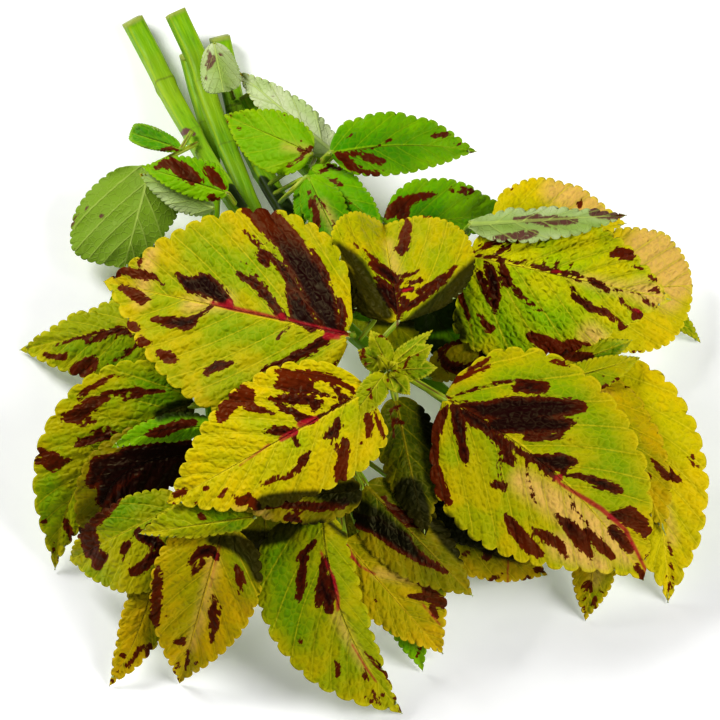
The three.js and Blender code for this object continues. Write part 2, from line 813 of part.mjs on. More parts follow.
const STALK_STEP = 8.5; // length of a stretch of stalk, at most
const FIRST_BEND = 0.15; // where a stalk first turns, in stretches from the stem
const STALK_ROOM = 1.2; // height of a stalk's middle over what it crosses, in radii and a clearance
const LOOK_ROUND = [ - 0.8, - 0.6, - 0.4, - 0.2, 0, 0.2, 0.4, 0.6, 0.8 ]; // in stretches, for its height
const FOOT_ROOM = [ [ 2.5, 0 ], [ - 2.5, 0 ], [ 0, 2.5 ], [ 0, - 2.5 ] ]; // best left clear round its start
const DETOUR = 12; // how much farther a stalk goes to start with that room
const places = {}; // where stalks can start, by stem

// Whether another leaf comes close to a place on a stem.
function isCrowded( [ u, v ] ) {

	return FOOT_ROOM.some( ( [ du, dv ] ) => owner[ cellAt( u + du, v + dv ) ].startsWith( 'leaf' ) );

}

// The place on a stem nearest a leaf's start where nothing covers the stem yet.
function nearestBarePlace( leaf ) {

	let best = { cost: Infinity };
	for ( const [ stem, spots ] of Object.entries( places ) ) {

		if ( leaf.stem && leaf.stem !== stem ) continue;
		for ( const at of spots ) {

			if ( owner[ cellAt( ...at ) ] !== stem ) continue;
			const away = flatLength( at, leaf.from );
			const cost = away + ( isCrowded( at ) ? DETOUR : 0 );
			if ( cost < best.cost ) best = { at, away, cost };

		}

	}

	return best;

}

// A stalk from its stem to the blade's socket, over whatever lies between. It starts high
// enough to clear the pile, and then its start is let down until it meets the stem.
function stalkTube( leaf, radius, socket, under ) {

	const { at, away } = nearestBarePlace( leaf );
	const foot = [ ...at, under[ cellAt( ...at ) ] + SEAT + radius ];
	const stretches = Math.max( 2, Math.ceil( away / STALK_STEP ) );
	const bends = Array.from( { length: stretches - 1 }, ( _, n ) => n + 1 );
	const path = [ FIRST_BEND, ...bends ].map( ( k ) => {

		const here = mix( foot, socket[ 0 ], k / stretches );
		const highest = Math.max( ...LOOK_ROUND.map( ( share ) => {

			const along = Math.min( stretches, Math.max( 0, k + share ) ) / stretches;
			const [ u, v ] = mix( foot, socket[ 0 ], along );
			return under[ cellAt( u, v ) ];

		} ) );
		return [ here[ 0 ], here[ 1 ], Math.max( here[ 2 ], highest + CLEARANCE + STALK_ROOM * radius ) ];

	} );
	const whole = [ foot, ...path, ...socket ];
	const radii = whole.map( ( _, k ) => ( k < whole.length - 1 ? radius : STALK_END * radius ) );
	return seatedTube( whole, radii );

}

// ---- Solids and meshes ----

const MERGE = 1e-4; // vertices closer than this are one
const FARTHEST = 8; // the most that a piece is let down
const SEATINGS = 8; // tries at letting it down
const SEATED = 0.02; // a seat this much wider than SEAT will do
const laidSolids = []; // the solids of the pieces laid so far

function solidOf( points, triangles ) {

	const used = [ ...new Set( triangles.flat() ) ];
	const number = new Map( used.map( ( k, n ) => [ k, n ] ) );
	const positions = new Float32Array( used.flatMap( ( k ) => place( points[ k ].at ).toArray() ) );
	const geometry = new THREE.BufferGeometry();
	geometry.setAttribute( 'position', new THREE.BufferAttribute( positions, 3 ) );
	geometry.setIndex( triangles.flatMap( ( triangle ) => triangle.map( ( k ) => number.get( k ) ) ) );
	const merged = mergeVertices( geometry, MERGE );
	return new wasm.Manifold( new wasm.Mesh( {
		numProp: 3,
		vertProperties: merged.attributes.position.array,
		triVerts: new Uint32Array( merged.index.array ),
	} ) );

}

// Lets the start of a tube down until it is just clear of what carries it.
function seatedTube( path, radii ) {

	const firstStretch = tubeTriangles( 2, STALK_SIDES );
	let points;
	let drop = 0;
	for ( let pass = 0; pass < SEATINGS; pass ++ ) {

		points = tubeCorners( [ lifted( path[ 0 ], - drop ), ...path.slice( 1 ) ], radii, STALK_SIDES );
		const start = solidOf( points, firstStretch );
		const gap = Math.min( ...laidSolids.map( ( solid ) => solid.minGap( start, FARTHEST ) ) );
		if ( gap < SEAT + SEATED ) break;
		drop += gap - SEAT;

	}

	return { points, triangles: tubeTriangles( path.length, STALK_SIDES ) };

}

function meshOf( name, solid, color, roughness ) {

	const made = solid.getMesh();
	const geometry = new THREE.BufferGeometry();
	const positions = new Float32Array( made.vertProperties );
	geometry.setAttribute( 'position', new THREE.BufferAttribute( positions, 3 ) );
	geometry.setIndex( new THREE.BufferAttribute( new Uint32Array( made.triVerts ), 1 ) );
	geometry.computeVertexNormals();
	const material = new THREE.MeshStandardMaterial( { color, roughness, metalness: 0 } );
	const mesh = new THREE.Mesh( geometry, material );
	mesh.name = name;
	return mesh;

}

// ---- The bunch ----

const bunch = new THREE.Group();
bunch.name = 'coleus_bunch';

const SLIVER = 0.02; // how far a surface may move where a join's slivers are cleaned away

function addPiece( name, solid, color, roughness ) {

	const clean = solid.simplify( SLIVER );
	laidSolids.push( clean );
	bunch.add( meshOf( name, clean, color, roughness ) );

}

// A stem comes down until it meets the table or a stem below it.
function addStem( name, points ) {

	const piece = stemPiece( name, points );
	const laid = layOnPile( piece ).points;
	const asLaid = solidOf( laid, piece.triangles );
	const overTable = asLaid.boundingBox().min[ 2 ] / Math.sin( LEAN );
	const gaps = laidSolids.map( ( solid ) => solid.minGap( asLaid, FARTHEST ) - SEAT );
	const drop = Math.max( 0, Math.min( overTable, ...gaps ) );
	const settled = laid.map( ( { at, ring } ) => ( { at: lifted( at, - drop ), ring } ) );
	places[ name ] = stalkPlaces( piece.rings );
	addPiece( name, solidOf( settled, piece.triangles ), COLOURS.stem, STEM_ROUGHNESS );

}

function addLeaf( drawn ) {

	const leaf = { ...FLAT_LEAF, ...drawn };
	const shape = leafShape( leaf );
	const piece = bladePiece( leaf.name, shape, LEAF_BEND );
	const under = spreadTop();
	const laid = layOnPile( piece );
	const stalk = stalkTube( leaf, sizeClass( shape ).stalk, piece.socketAt( laid.lifts ), under );
	cover( leaf.name, stalk.points, stalk.triangles );
	const solid = solidOf( laid.points, piece.blade ).add( solidOf( stalk.points, stalk.triangles ) );
	addPiece( leaf.name, solid, COLOURS[ leaf.tone ], LEAF_ROUGHNESS );

}

Object.entries( LOWER_STEMS ).forEach( ( [ name, points ] ) => addStem( name, points ) );
UNDER_LEAVES.forEach( addLeaf );
addStem( 'stem_left', TOP_STEM );
LEAVES.forEach( addLeaf );

// The growing tip stands on its stem, and its young leaves lie over the stalks round it.
function addGrowingTip() {

	const name = 'growing_tip';
	const widest = Math.max( ...TIP_RADII );
	const round = [ - widest, 0, widest ];
	const corners = round.flatMap( ( du ) => round.map( ( dv ) => [ TIP[ 0 ] + du, TIP[ 1 ] + dv ] ) );
	const foot = Math.max( ...corners.map( ( at ) => top[ cellAt( ...at ) ] ) ) + SEAT;
	const path = TIP_RADII.map( ( _, k ) => [ ...TIP, foot + TIP_RISE * k / ( TIP_RADII.length - 1 ) ] );
	const axis = seatedTube( path, TIP_RADII );
	let solid = solidOf( axis.points, axis.triangles );
	const pileBefore = top.slice();
	for ( const young of YOUNG_LEAVES ) {

		const ends = [ young.from, young.to ];
		const high = ends.map( ( [ u, v ], k ) => place( [ u, v, foot + young.out[ k ] ] ).z );
		const shape = leafShape( { ...FLAT_LEAF, ...YOUNG_LEAF, ...young, high } );
		const piece = bladePiece( name, shape, YOUNG_BEND );
		top.set( pileBefore );
		solid = solid.add( solidOf( layOnPile( piece ).points, piece.blade ) );

	}

	addPiece( name, solid, COLOURS.tip, LEAF_ROUGHNESS );

}

addGrowingTip();

// The origin is brought under the middle of the bunch, on the table.
const box = new THREE.Box3().setFromObject( bunch );
const middle = box.getCenter( new THREE.Vector3() );
for ( const mesh of bunch.children ) mesh.geometry.translate( - middle.x, - middle.y, 0 );

export default bunch;
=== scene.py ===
# %% [markdown]
# # A cut bunch of coleus
#
# Coleus is grown for its leaves: soft, toothed blades, gold and green with maroon blotches.
# This bunch has been cut and laid on a table. Its square stems lie together at the back, and
# the leaves spread forward and hang down over each other.
# The solid model already holds the stems and the leaves in their places. This script replaces
# each of them with a finer piece: scalloped margins, blades that are quilted between the
# veins, grooved stalks, ribbed stems, and colour that follows the veins.

# %% The frame
import math

import bpy
import numpy as np
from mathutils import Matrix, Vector
from mathutils.bvhtree import BVHTree

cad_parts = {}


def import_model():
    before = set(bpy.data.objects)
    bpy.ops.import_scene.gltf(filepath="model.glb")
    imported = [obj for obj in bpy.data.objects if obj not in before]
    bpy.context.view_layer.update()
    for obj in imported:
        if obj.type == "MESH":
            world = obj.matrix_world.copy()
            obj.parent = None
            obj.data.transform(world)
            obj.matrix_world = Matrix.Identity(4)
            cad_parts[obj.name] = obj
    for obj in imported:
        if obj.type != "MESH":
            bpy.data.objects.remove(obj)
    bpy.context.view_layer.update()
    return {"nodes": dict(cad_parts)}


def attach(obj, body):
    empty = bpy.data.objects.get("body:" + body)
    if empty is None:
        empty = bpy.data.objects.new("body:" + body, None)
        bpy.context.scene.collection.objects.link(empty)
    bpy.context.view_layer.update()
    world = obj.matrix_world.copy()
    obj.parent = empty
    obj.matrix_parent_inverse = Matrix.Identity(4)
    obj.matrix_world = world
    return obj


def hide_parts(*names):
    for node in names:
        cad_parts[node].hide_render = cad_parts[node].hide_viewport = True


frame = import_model()
print("solid nodes in the frame:", len(frame["nodes"]))

# %% [markdown]
# ## The laying plane
#
# The leaves were laid out on a plane that leans over the bunch: u runs to the right, v up the
# lean, w straight out of it. All the lengths below are millimetres. Blender works in metres,
# so one function takes a point of the plane into the scene, and another brings it back.

# %% The laying plane
MM = 0.001
LEAN = math.radians(60)
SIN = math.sin(LEAN)
COS = math.cos(LEAN)
ORIGIN = np.array([1.162, -2.690, 0.0])  # the part's origin, in the plane's own frame
OUTWARD = Vector((0, -COS, SIN))


def world(points):
    """Points (u, v, w) of the plane, in millimetres, as points of the scene in metres."""
    u, v, w = np.moveaxis(np.asarray(points, float), -1, 0)
    flat = np.stack([u, v * SIN - w * COS, v * COS + w * SIN], axis=-1)
    return (flat - ORIGIN) * MM


def plane_of(points):
    """The way back: points of the scene as (u, v, w)."""
    x, y, z = np.moveaxis(np.asarray(points, float) / MM + ORIGIN, -1, 0)
    return np.stack([x, y * SIN + z * COS, z * SIN - y * COS], axis=-1)


def out_of(v, z):
    """The w of a point at v that stands z above the table."""
    return (z - v * COS) / SIN


print("the plane leans by", round(math.degrees(LEAN)), "degrees")

# %% [markdown]
# ## The layout of the lowest leaves
#
# Every leaf has a start and a tip on the plane, half widths to its left and right, and the
# height of its start and tip above the table. The other values say how the midrib curves to
# the left (bow), how far the middle stands out (arch), how far the margins fall back (fall),
# how far the side veins run forward (sweep), how far the base reaches back (lobe), how
# quickly the margins run in to the tip (blunt), and, if the solid doesn't show it, where the
# stalk starts on its stem (foot).
#
# Leaves could be scattered along the stems by a rule, but in a real bunch each one is pushed
# aside by its neighbours, so each is laid out by itself, the lowest ones first.

# %% The layout of the lowest leaves
FLAT_LEAF = {
    "bow": 0, "arch": 2, "fall": (4, 4), "sweep": (0.14, 0.14), "lobe": (0.03, 0.03),
    "blunt": (1.4, 1.4), "foot": None,
}
YOUNG_LEAF = {"arch": 1.5, "fall": (1.5, 1.5)}


def leaf(start, tip, wide, high, **more):
    """The layout of one leaf; what isn't given is as in a flat leaf."""
    return {"from": start, "to": tip, "wide": wide, "high": high, **more}


LEAVES = {
    "leaf_under_left": leaf((-69, 43), (-101, 24), (11, 10), (24, 1)),
    "leaf_under_back": leaf((12, 57), (52, 66), (7, 10), (36, 4)),
    "leaf_under_heart": leaf((-18, 42), (26, 4), (15, 17), (34, 46), fall=(2, 6)),
    "leaf_under_middle": leaf((22, 30), (54, -16), (14, 10), (46, 44)),
    "leaf_under_front": leaf((-38, -54), (-37, -98), (14, 14), (46, 6)),
    "leaf_under_low": leaf((-8, -46), (0, -98), (13, 12), (50, 8)),
    "leaf_right_hook": leaf((106, 22), (137, 7), (5, 4), (22, 1), bow=4, fall=(5, 5)),
    "leaf_right_pale": leaf(
        (80, 28), (134, 30), (24, 26), (38, 2), arch=6, fall=(20, 4), sweep=(0.22, 0.22),
        blunt=(0.9, 0.9),
    ),
    "leaf_back_long": leaf((10, 54), (61, 59), (17, 9), (40, 20), arch=4, fall=(10, 2)),
    "leaf_back_pale": leaf((52, 50), (107, 55), (21, 10), (44, 12), arch=4, fall=(12, 6)),
    "leaf_turned_wide": leaf(
        (-84, 78), (-95, 37), (15, 25), (26, 1), arch=4, fall=(2, 10), sweep=(0.1, 0.38),
        blunt=(1.4, 0.9),
    ),
    "leaf_ear": leaf((-72, 85), (-93, 92), (4, 5), (32, 16), sweep=(0.3, 0.3), blunt=(0.8, 0.8)),
    "leaf_turned_small": leaf((-59, 61), (-89, 75), (7, 5), (42, 26), arch=2),
    "leaf_banded": leaf((-53, 67), (-88, 78), (6, 10), (46, 30), arch=3, fall=(2, 8)),
    "leaf_turned_long": leaf((-10, 83), (-50, 117), (8, 8), (36, 22), arch=3, fall=(2, 6)),
    "leaf_cut_end": leaf(
        (-59, 128), (-55, 108), (8, 8), (32, 34), sweep=(0.3, 0.3), blunt=(0.8, 0.8),
        foot=(-51.1, 105.7),
    ),
}
print("leaves at the bottom and the back:", len(LEAVES))

# %% The layout of the hanging leaves
LEAVES |= {
    "leaf_left_point": leaf((-72, 18), (-137, 4), (20, 11), (42, 1), arch=5, fall=(5, 14)),
    "leaf_left_outer": leaf(
        (-66, -18), (-122, -84), (16, 27), (44, 1), bow=-16, arch=8, sweep=(0.14, 0.08),
    ),
    "leaf_left_dark": leaf((-65, -38), (-108, -80), (14, 15), (48, 3), bow=-15, arch=10),
    "leaf_left_sliver": leaf((-57, -27), (-99, -35), (5, 6), (56, 34), bow=-3),
    "leaf_front_curled": leaf((-80, -76), (-100, -130), (10, 9), (36, 0), bow=3.5, arch=3),
    "leaf_left_front": leaf(
        (-70, -56), (-116, -80), (26, 12), (50, 8), arch=6, fall=(3, 4), blunt=(1, 1),
    ),
    "leaf_front_low": leaf((29, -67), (75, -86), (14, 12), (34, 3), arch=5, foot=(52, -26)),
    "leaf_front_fang": leaf((96, -62), (90, -104), (10, 9), (32, 0), arch=3),
    "leaf_right_hanging": leaf(
        (93, -2), (123, -97), (24, 20), (40, 0), bow=8, arch=12, foot=(70.7, -33.9),
    ),
    "leaf_right_tucked": leaf(
        (84, -6), (122, -70), (15, 10), (46, 22), bow=4, arch=5, foot=(65.3, -31.9),
    ),
    "leaf_front_green": leaf((6, -84), (25, -124), (8, 8), (34, 1), bow=2),
    "leaf_front_right": leaf((-6, -72), (33, -117), (23, 13), (50, 2), arch=8),
    "leaf_front_dark": leaf((16, -50), (58, -76), (9, 9), (54, 26), arch=4),
    "leaf_front_olive": leaf((2, -49), (45, -94), (12, 17), (60, 24), arch=4),
    "leaf_front_long": leaf(
        (-15, -58), (17, -141), (10, 30), (62, 0), bow=-8, arch=8, fall=(12, 6),
    ),
    "leaf_front_gold": leaf((-54, -65), (-72, -129), (21, 22), (58, 0), arch=8),
    "leaf_spout": leaf((-41, -62), (-88, -69), (5, 12), (60, 38), foot=(-54.9, -42.4)),
    "leaf_front_brown": leaf((1, -51), (-50, -58), (11, 6), (68, 54), foot=(-17.2, -15.9)),
    "leaf_collar": leaf((28, -7), (62, 1), (10, 5), (48, 50), bow=2),
    "leaf_right_fold": leaf((74, -5), (109, 8), (6, 7), (50, 34), fall=(5, 2)),
    "leaf_right_spear": leaf((80, -8), (112, 1), (5, 8), (50, 32), fall=(5, 2)),
}
print("with those that hang down in front and at the sides:", len(LEAVES))

# %% The layout of the upper leaves
LEAVES |= {
    "leaf_heart_shade": leaf((14, -15), (26, -70), (13, 11), (74, 50), arch=3),
    "leaf_back_striped": leaf((-20, 77), (10, 52), (9, 8), (40, 42), arch=2),
    "leaf_back_green": leaf((-12, 83), (47, 84), (13, 12), (44, 18), bow=3, arch=4, fall=(8, 2)),
    "leaf_back_lime": leaf(
        (-19, 83), (-55, 99), (14, 10.5), (46.5, 34), arch=3, fall=(2, 6), foot=(-36.5, 70.9),
    ),
    "leaf_sprig": leaf((-23, 73), (-24, 51), (3.5, 3.5), (44, 46), foot=(-34.3, 67.2)),
    "leaf_inner_dark": leaf((-21, 74), (-3, 36), (9, 8), (46, 56), foot=(-32.2, 63.6)),
    "leaf_inner_green": leaf((6, 16), (-9, 50), (10, 11), (72, 58)),
    "leaf_right_quilted": leaf(
        (44, 42), (125.5, 24), (25, 37), (66, 30), arch=6, fall=(14, 8), sweep=(0.14, 0.08),
        lobe=(0, 0.16),
    ),
    "leaf_turned_edge": leaf((44, 54), (107, 58), (5, 8), (62, 36), fall=(10, -2)),
    "leaf_heart": leaf(
        (15, 15), (9.5, 53.5), (23, 34), (86, 72), arch=6, fall=(8, 8), sweep=(0.6, 0.42),
    ),
    "leaf_great_right": leaf(
        (33, -15), (113, -88), (38, 41), (84, 22), bow=8, arch=8, fall=(14, 5), sweep=(0.08, 0.14),
        blunt=(1.15, 1.4),
    ),
    "leaf_great_left": leaf((-4.5, 10), (-103, 31.5), (42, 42), (84, 44), arch=8, fall=(5, 20)),
    "leaf_great_front": leaf((3, -12), (-77, -57), (26.5, 26.5), (90, 50), arch=6, lobe=(0.14, 0)),
}
print("with the upper ones:", len(LEAVES))

# %% [markdown]
# ## The layout of the stems
#
# The stems lie on the table at their cut ends and rise towards the front, where the leaves
# hold them up. Six lines of points are enough to lay them out, as they bend little.

# %% The layout of the stems
# Points (u, v, height of the stem's middle), from the cut end.
STEMS = {
    "stem_low": [
        (-69, 124, 4.25), (-66, 112, 4.25), (-61, 92, 7), (-60, 62, 14), (-62, 30, 24),
        (-60, 0, 32), (-58, -30, 36), (-52, -52, 38),
    ],
    "stem_right": [
        (-57, 131, 4.25), (-53.5, 116, 4.25), (-47, 92, 8), (-30, 60, 18), (-5, 24, 28),
        (24, -6, 34), (52, -26, 38), (76, -36, 36),
    ],
    "stem_back": [
        (-34, 97, 4.25), (-28, 86, 6), (-12, 70, 14), (4, 56, 24), (26, 45, 35), (48, 38, 43),
        (72, 29, 39),
    ],
    "stem_middle": [
        (-75, 141, 13.5), (-66, 122, 14), (-60, 102, 16), (-48, 72, 21), (-34, 36, 26),
        (-22, 0, 34), (-14, -28, 42), (-10, -50, 46),
    ],
    "stem_short": [
        (-45, 108, 16), (-39, 97, 18), (-29, 86, 22), (-15, 80, 28),
    ],
    "stem_left": [
        (-92.5, 138, 4.25), (-84, 122, 4.25), (-76, 106, 7), (-68, 92, 14), (-60, 78, 24),
        (-41, 50, 42), (-20, 26, 56), (2, 6, 68), (11, -3, 77),
    ],
}
print("stems:", len(STEMS))

# %% [markdown]
# ## The layout of the growing tip
#
# At the end of the top stem the youngest leaves stand round each other. They start and end at
# some distance (out) over the foot of the tip, instead of at a height above the table.

# %% The layout of the growing tip
TIP = (11, -4)
TIP_FOOT = 102.25
TIP_RISE = 9
TIP_RADII = (2.6, 2.8, 1.6)
YOUNG_LEAVES = [
    {"from": (10, -2), "to": (-1, 4), "wide": (5, 5), "out": (5, 6)},
    {"from": (11, -2), "to": (4, 12), "wide": (4, 5), "out": (6, 9)},
    {"from": (12, -2), "to": (29, 12), "wide": (3, 3), "out": (5, 7)},
    {"from": (12, -3), "to": (29, 6), "wide": (5, 6), "out": (6, 9)},
    {"from": (12, -4), "to": (31, -3), "wide": (5, 5), "out": (5, 6)},
    {"from": (10, -5), "to": (-4, -24), "wide": (6, 5), "out": (5, 6)},
    {"from": (12, -5), "to": (20, -14), "wide": (4, 4), "out": (6, 8)},
    {"from": (11, -5), "to": (14, -13), "wide": (3, 3), "out": (8, 11)},
    {"from": (11, -4), "to": (7, 2), "wide": (2.5, 2.5), "out": (9, 14)},
    {"from": (11, -4), "to": (15, -1), "wide": (2.5, 2.5), "out": (9, 13)},
]
print("young leaves:", len(YOUNG_LEAVES))

# %% [markdown]
# ## Where the colour is
#
# A coleus leaf isn't evenly coloured. Maroon lies in blotches and streaks that follow the
# side veins, pink follows the midrib, and gold gives way to peach where it is old and to green
# where the leaf grew in the shade; in places the green is also painted shade, where a leaf
# lies in shadow. Deep in the bunch it is dark. This shade is painted too, because thin leaves
# let more light through than the real, crowded ones.
#
# No leaf is like another, so the streaks are laid out one by one, as a painter would set
# them. Each is a line of points (x, y, half width) on a layout sheet that is 720 units wide,
# with y down. Where a streak is a single point, it is a dot.

# %% Where the colour is on the upper leaves
KINDS = ("maroon", "pink", "peach", "green", "shade")
MARKS = {}

MARKS["leaf_great_left"] = {
    "maroon": [
        [(340, 331, 5), (343, 315, 4), (340, 302, 3)],
        [(333, 330, 8), (322, 302, 15), (308, 273, 14), (288, 241, 13), (264, 217, 13), (246, 209, 5)],
        [(313, 250, 2), (325, 275, 5), (327, 290, 3)],
        [(318, 328, 3), (300, 299, 5), (285, 272, 5), (265, 252, 3), (245, 232, 2)],
        [(288, 292, 3), (300, 312, 12), (312, 325, 7)],
        [(236, 273, 2), (255, 283, 5), (270, 300, 5), (283, 317, 4)],
        [(256, 254, 2), (263, 260, 5), (268, 268, 2)],
        [(178, 275, 3), (190, 285, 8), (205, 285, 12), (218, 293, 9), (230, 305, 5)],
        [(112, 275, 3), (125, 270, 4), (140, 275, 6), (155, 277, 3), (164, 284, 1.5)], [(140, 262, 4)],
        [(120, 287, 3), (133, 293, 6), (143, 300, 5), (150, 300, 1)],
        [(155, 320, 3), (170, 322, 6), (188, 324, 7), (200, 315, 3), (212, 306, 1.5)],
        [(127, 323, 3), (135, 327, 5)], [(143, 342, 6), (150, 343, 2)],
        [(160, 353, 4), (168, 357, 7), (178, 361, 3)], [(208, 372, 5), (218, 366, 6), (232, 363, 2)],
        [(262, 370, 2), (287, 361, 4), (308, 351, 5), (325, 340, 5)], [(278, 338, 2), (290, 327, 2)],
        [(333, 367, 3), (336, 362, 2)], [(245, 262, 0.8), (268, 288, 1), (285, 315, 1)],
        [(206, 213, 1), (210, 214, 1)],
    ],
    "pink": [
        [(347, 334, 1.5), (290, 320, 1.5), (232, 308, 2.5), (212, 303, 2)],
        [(338, 337, 2.5), (327, 336, 4)], [(230, 303, 4)], [(282, 317, 4)],
    ],
    "peach": [[(225, 300, 8), (190, 305, 6)], [(150, 250, 6), (140, 300, 6)]],
    "green": [[(200, 250, 12), (250, 270, 10)], [(230, 330, 12), (270, 335, 12)]],
}
MARKS["leaf_great_right"] = {
    "maroon": [
        [(446, 396, 1.2), (475, 418, 1.8), (520, 450, 2.2), (554, 478, 2.5)],
        [(462, 411, 4), (475, 420, 7), (488, 429, 5)], [(525, 437, 4), (556, 436, 4)],
        [(548, 360, 2), (565, 364, 4)], [(470, 369, 3), (487, 359, 2)],
        [(515, 387, 4), (530, 389, 6), (544, 389, 4)],
        [(462, 404, 3), (485, 410, 9), (510, 410, 14), (545, 408, 12), (580, 406, 7)],
        [(495, 425, 9), (530, 422, 12), (560, 425, 8), (572, 421, 3)],
        [(528, 456, 3), (545, 460, 7), (560, 462, 10), (573, 461, 4)], [(548, 470, 6)],
        [(560, 474, 2), (580, 475, 3), (600, 483, 6), (617, 489, 5)],
        [(610, 515, 4), (628, 515, 10), (640, 525, 8), (645, 535, 4)],
        [(612, 530, 6), (622, 540, 6), (628, 548, 5)], [(515, 380, 2), (530, 385, 6), (545, 384, 4)],
        [(455, 395, 1.5), (480, 387, 2), (512, 380, 1.5)],
        [(440, 390, 2), (465, 375, 2.5), (490, 366, 2)],
        [(447, 405, 2), (437, 420, 7), (430, 440, 9), (430, 465, 9), (437, 485, 8), (447, 500, 5)],
        [(455, 408, 5), (458, 425, 7), (461, 440, 5), (464, 455, 5), (466, 463, 2)],
        [(478, 425, 2), (495, 440, 4), (515, 450, 3), (525, 455, 2)],
        [(498, 440, 1.5), (498, 465, 1.5), (503, 490, 2)], [(493, 483, 4), (502, 485, 4)],
        [(503, 445, 3), (507, 458, 5), (513, 463, 3)], [(525, 457, 1.5), (527, 480, 1.5), (535, 505, 1)],
        [(567, 490, 1.5), (573, 508, 1.5), (585, 522, 1)],
        [(505, 515, 3), (515, 530, 7), (528, 545, 8), (540, 555, 4)],
        [(530, 528, 2), (545, 535, 6), (560, 545, 5), (565, 556, 2)],
        [(556, 515, 3), (570, 527, 7), (580, 540, 8), (590, 555, 4)],
        [(585, 530, 4), (600, 545, 6), (610, 555, 4)], [(625, 577, 2)], [(636, 566, 3), (642, 576, 4)],
        [(648, 530, 3), (655, 540, 3)], [(648, 556, 4), (652, 566, 3)], [(568, 440, 2)],
    ],
    "pink": [
        [(548, 476, 1.5), (600, 508, 2.5), (625, 530, 2), (645, 570, 1.5)], [(558, 477, 4)],
        [(570, 490, 1.5), (590, 500, 1.2)],
    ],
    "peach": [
        [(520, 480, 10), (560, 505, 14), (600, 530, 14), (625, 555, 8)], [(560, 545, 12), (600, 565, 8)],
    ],
    "green": [
        [(500, 376, 6), (560, 388, 14), (600, 430, 16), (630, 490, 14)], [(500, 470, 8), (480, 400, 10)],
    ],
    "shade": [[(447, 516, 5), (458, 533, 6), (478, 551, 6), (500, 562, 5), (515, 566, 3)]],
}
MARKS["leaf_great_front"] = {
    "maroon": [
        [(285, 379, 5), (310, 384, 5)],
        [(279, 372, 4), (295, 374, 5), (315, 375, 5), (335, 380, 4), (350, 388, 3), (356, 393, 2)],
        [(277, 385, 4), (295, 388, 6), (310, 390, 3), (325, 394, 2), (345, 402, 2)],
        [(272, 399, 3), (290, 398, 5), (305, 400, 5), (320, 402, 4), (315, 408, 3)],
        [(330, 385, 2), (345, 397, 3)], [(280, 408, 3), (292, 410, 4), (300, 417, 5), (312, 420, 4)],
        [(267, 431, 2), (275, 430, 5), (285, 430, 5), (295, 430, 3)], [(294, 435, 3), (298, 445, 3)],
        [(240, 388, 5), (250, 395, 7), (235, 400, 8), (225, 410, 8), (222, 418, 5)],
        [(250, 405, 6), (262, 410, 4), (275, 413, 1)],
        [(262, 483, 2), (275, 478, 3), (290, 475, 3), (298, 468, 4), (305, 458, 4), (310, 452, 2)],
        [(327, 435, 4), (333, 432, 6), (338, 425, 5), (338, 418, 2)], [(335, 445, 3)],
        [(345, 440, 4), (343, 455, 6), (342, 465, 7), (341, 475, 7), (343, 481, 5)],
        [(367, 415, 4), (369, 427, 4), (368, 437, 2)], [(374, 411, 2), (379, 425, 3), (382, 437, 1.5)],
        [(361, 442, 1.5)], [(364, 475, 1.5)], [(178, 494, 4), (186, 490, 3)], [(207, 488, 3)],
        [(222, 495, 3), (228, 488, 2)], [(235, 495, 2)], [(197, 502, 2)], [(176, 503, 2)],
        [(350, 398, 1.5), (318, 417, 2)], [(240, 500, 5), (250, 498, 6), (258, 506, 5)],
    ],
    "peach": [[(240, 511, 4), (254, 514, 3)]],
    "shade": [[(266, 503, 10), (284, 501, 11), (302, 498, 9), (316, 493, 5)]],
    "pink": [
        [(282, 438, 3), (296, 431, 3)], [(300, 424, 3), (316, 418, 3)], [(270, 443, 1), (240, 465, 0.8)],
    ],
    "green": [[(250, 420, 6), (300, 440, 8)], [(350, 410, 6)]],
}
MARKS["leaf_heart"] = {
    "maroon": [
        [(406, 220, 3), (408, 225, 4), (405, 235, 6), (403, 246, 6)],
        [(396, 248, 3), (401, 251, 5), (404, 248, 3)], [(424, 211, 3), (427, 214, 4), (425, 218, 2)],
        [(364, 250, 1), (369, 256, 2), (376, 261, 3)],
        [(372, 264, 4), (382, 271, 6), (392, 278, 6), (398, 283, 4)],
        [(375, 279, 1.5), (385, 284, 3), (396, 291, 4)],
        [(378, 278, 2), (385, 290, 8), (392, 301, 7), (397, 312, 3)],
        [(402, 277, 2.5), (410, 275, 2), (417, 272, 1), (421, 268, 0.5)],
        [(403, 284, 1), (413, 283, 3), (421, 281, 3)], [(404, 290, 3), (412, 289, 3)],
        [(418, 293, 3), (428, 286, 3), (438, 281, 4), (446, 277, 4), (452, 270, 2), (457, 264, 1)],
        [(402, 310, 4), (412, 304, 4), (428, 294, 4), (442, 281, 4), (456, 266, 2)],
        [(401, 316, 3), (403, 300, 4)], [(354, 243, 1), (357, 247, 1.5)],
        [(399, 280, 1.2), (398.5, 300, 1.4), (397.5, 320, 1.4), (396.5, 362, 1.2)],
    ],
    "pink": [[(403, 291, 1.5), (412, 289, 1)]],
    "peach": [[(389, 245, 2.5), (396, 272, 3.5)]],
    "shade": [
        [(336, 243, 2), (348, 256, 7), (359, 268, 8), (366, 284, 10), (375, 300, 10), (386, 314, 7)],
        [(348, 270, 4), (352, 288, 9), (360, 306, 10), (374, 318, 8), (388, 324, 3)],
        [(405, 322, 2), (420, 316, 8), (438, 307, 12), (455, 293, 13), (469, 279, 13), (480, 263, 8)],
    ],
}
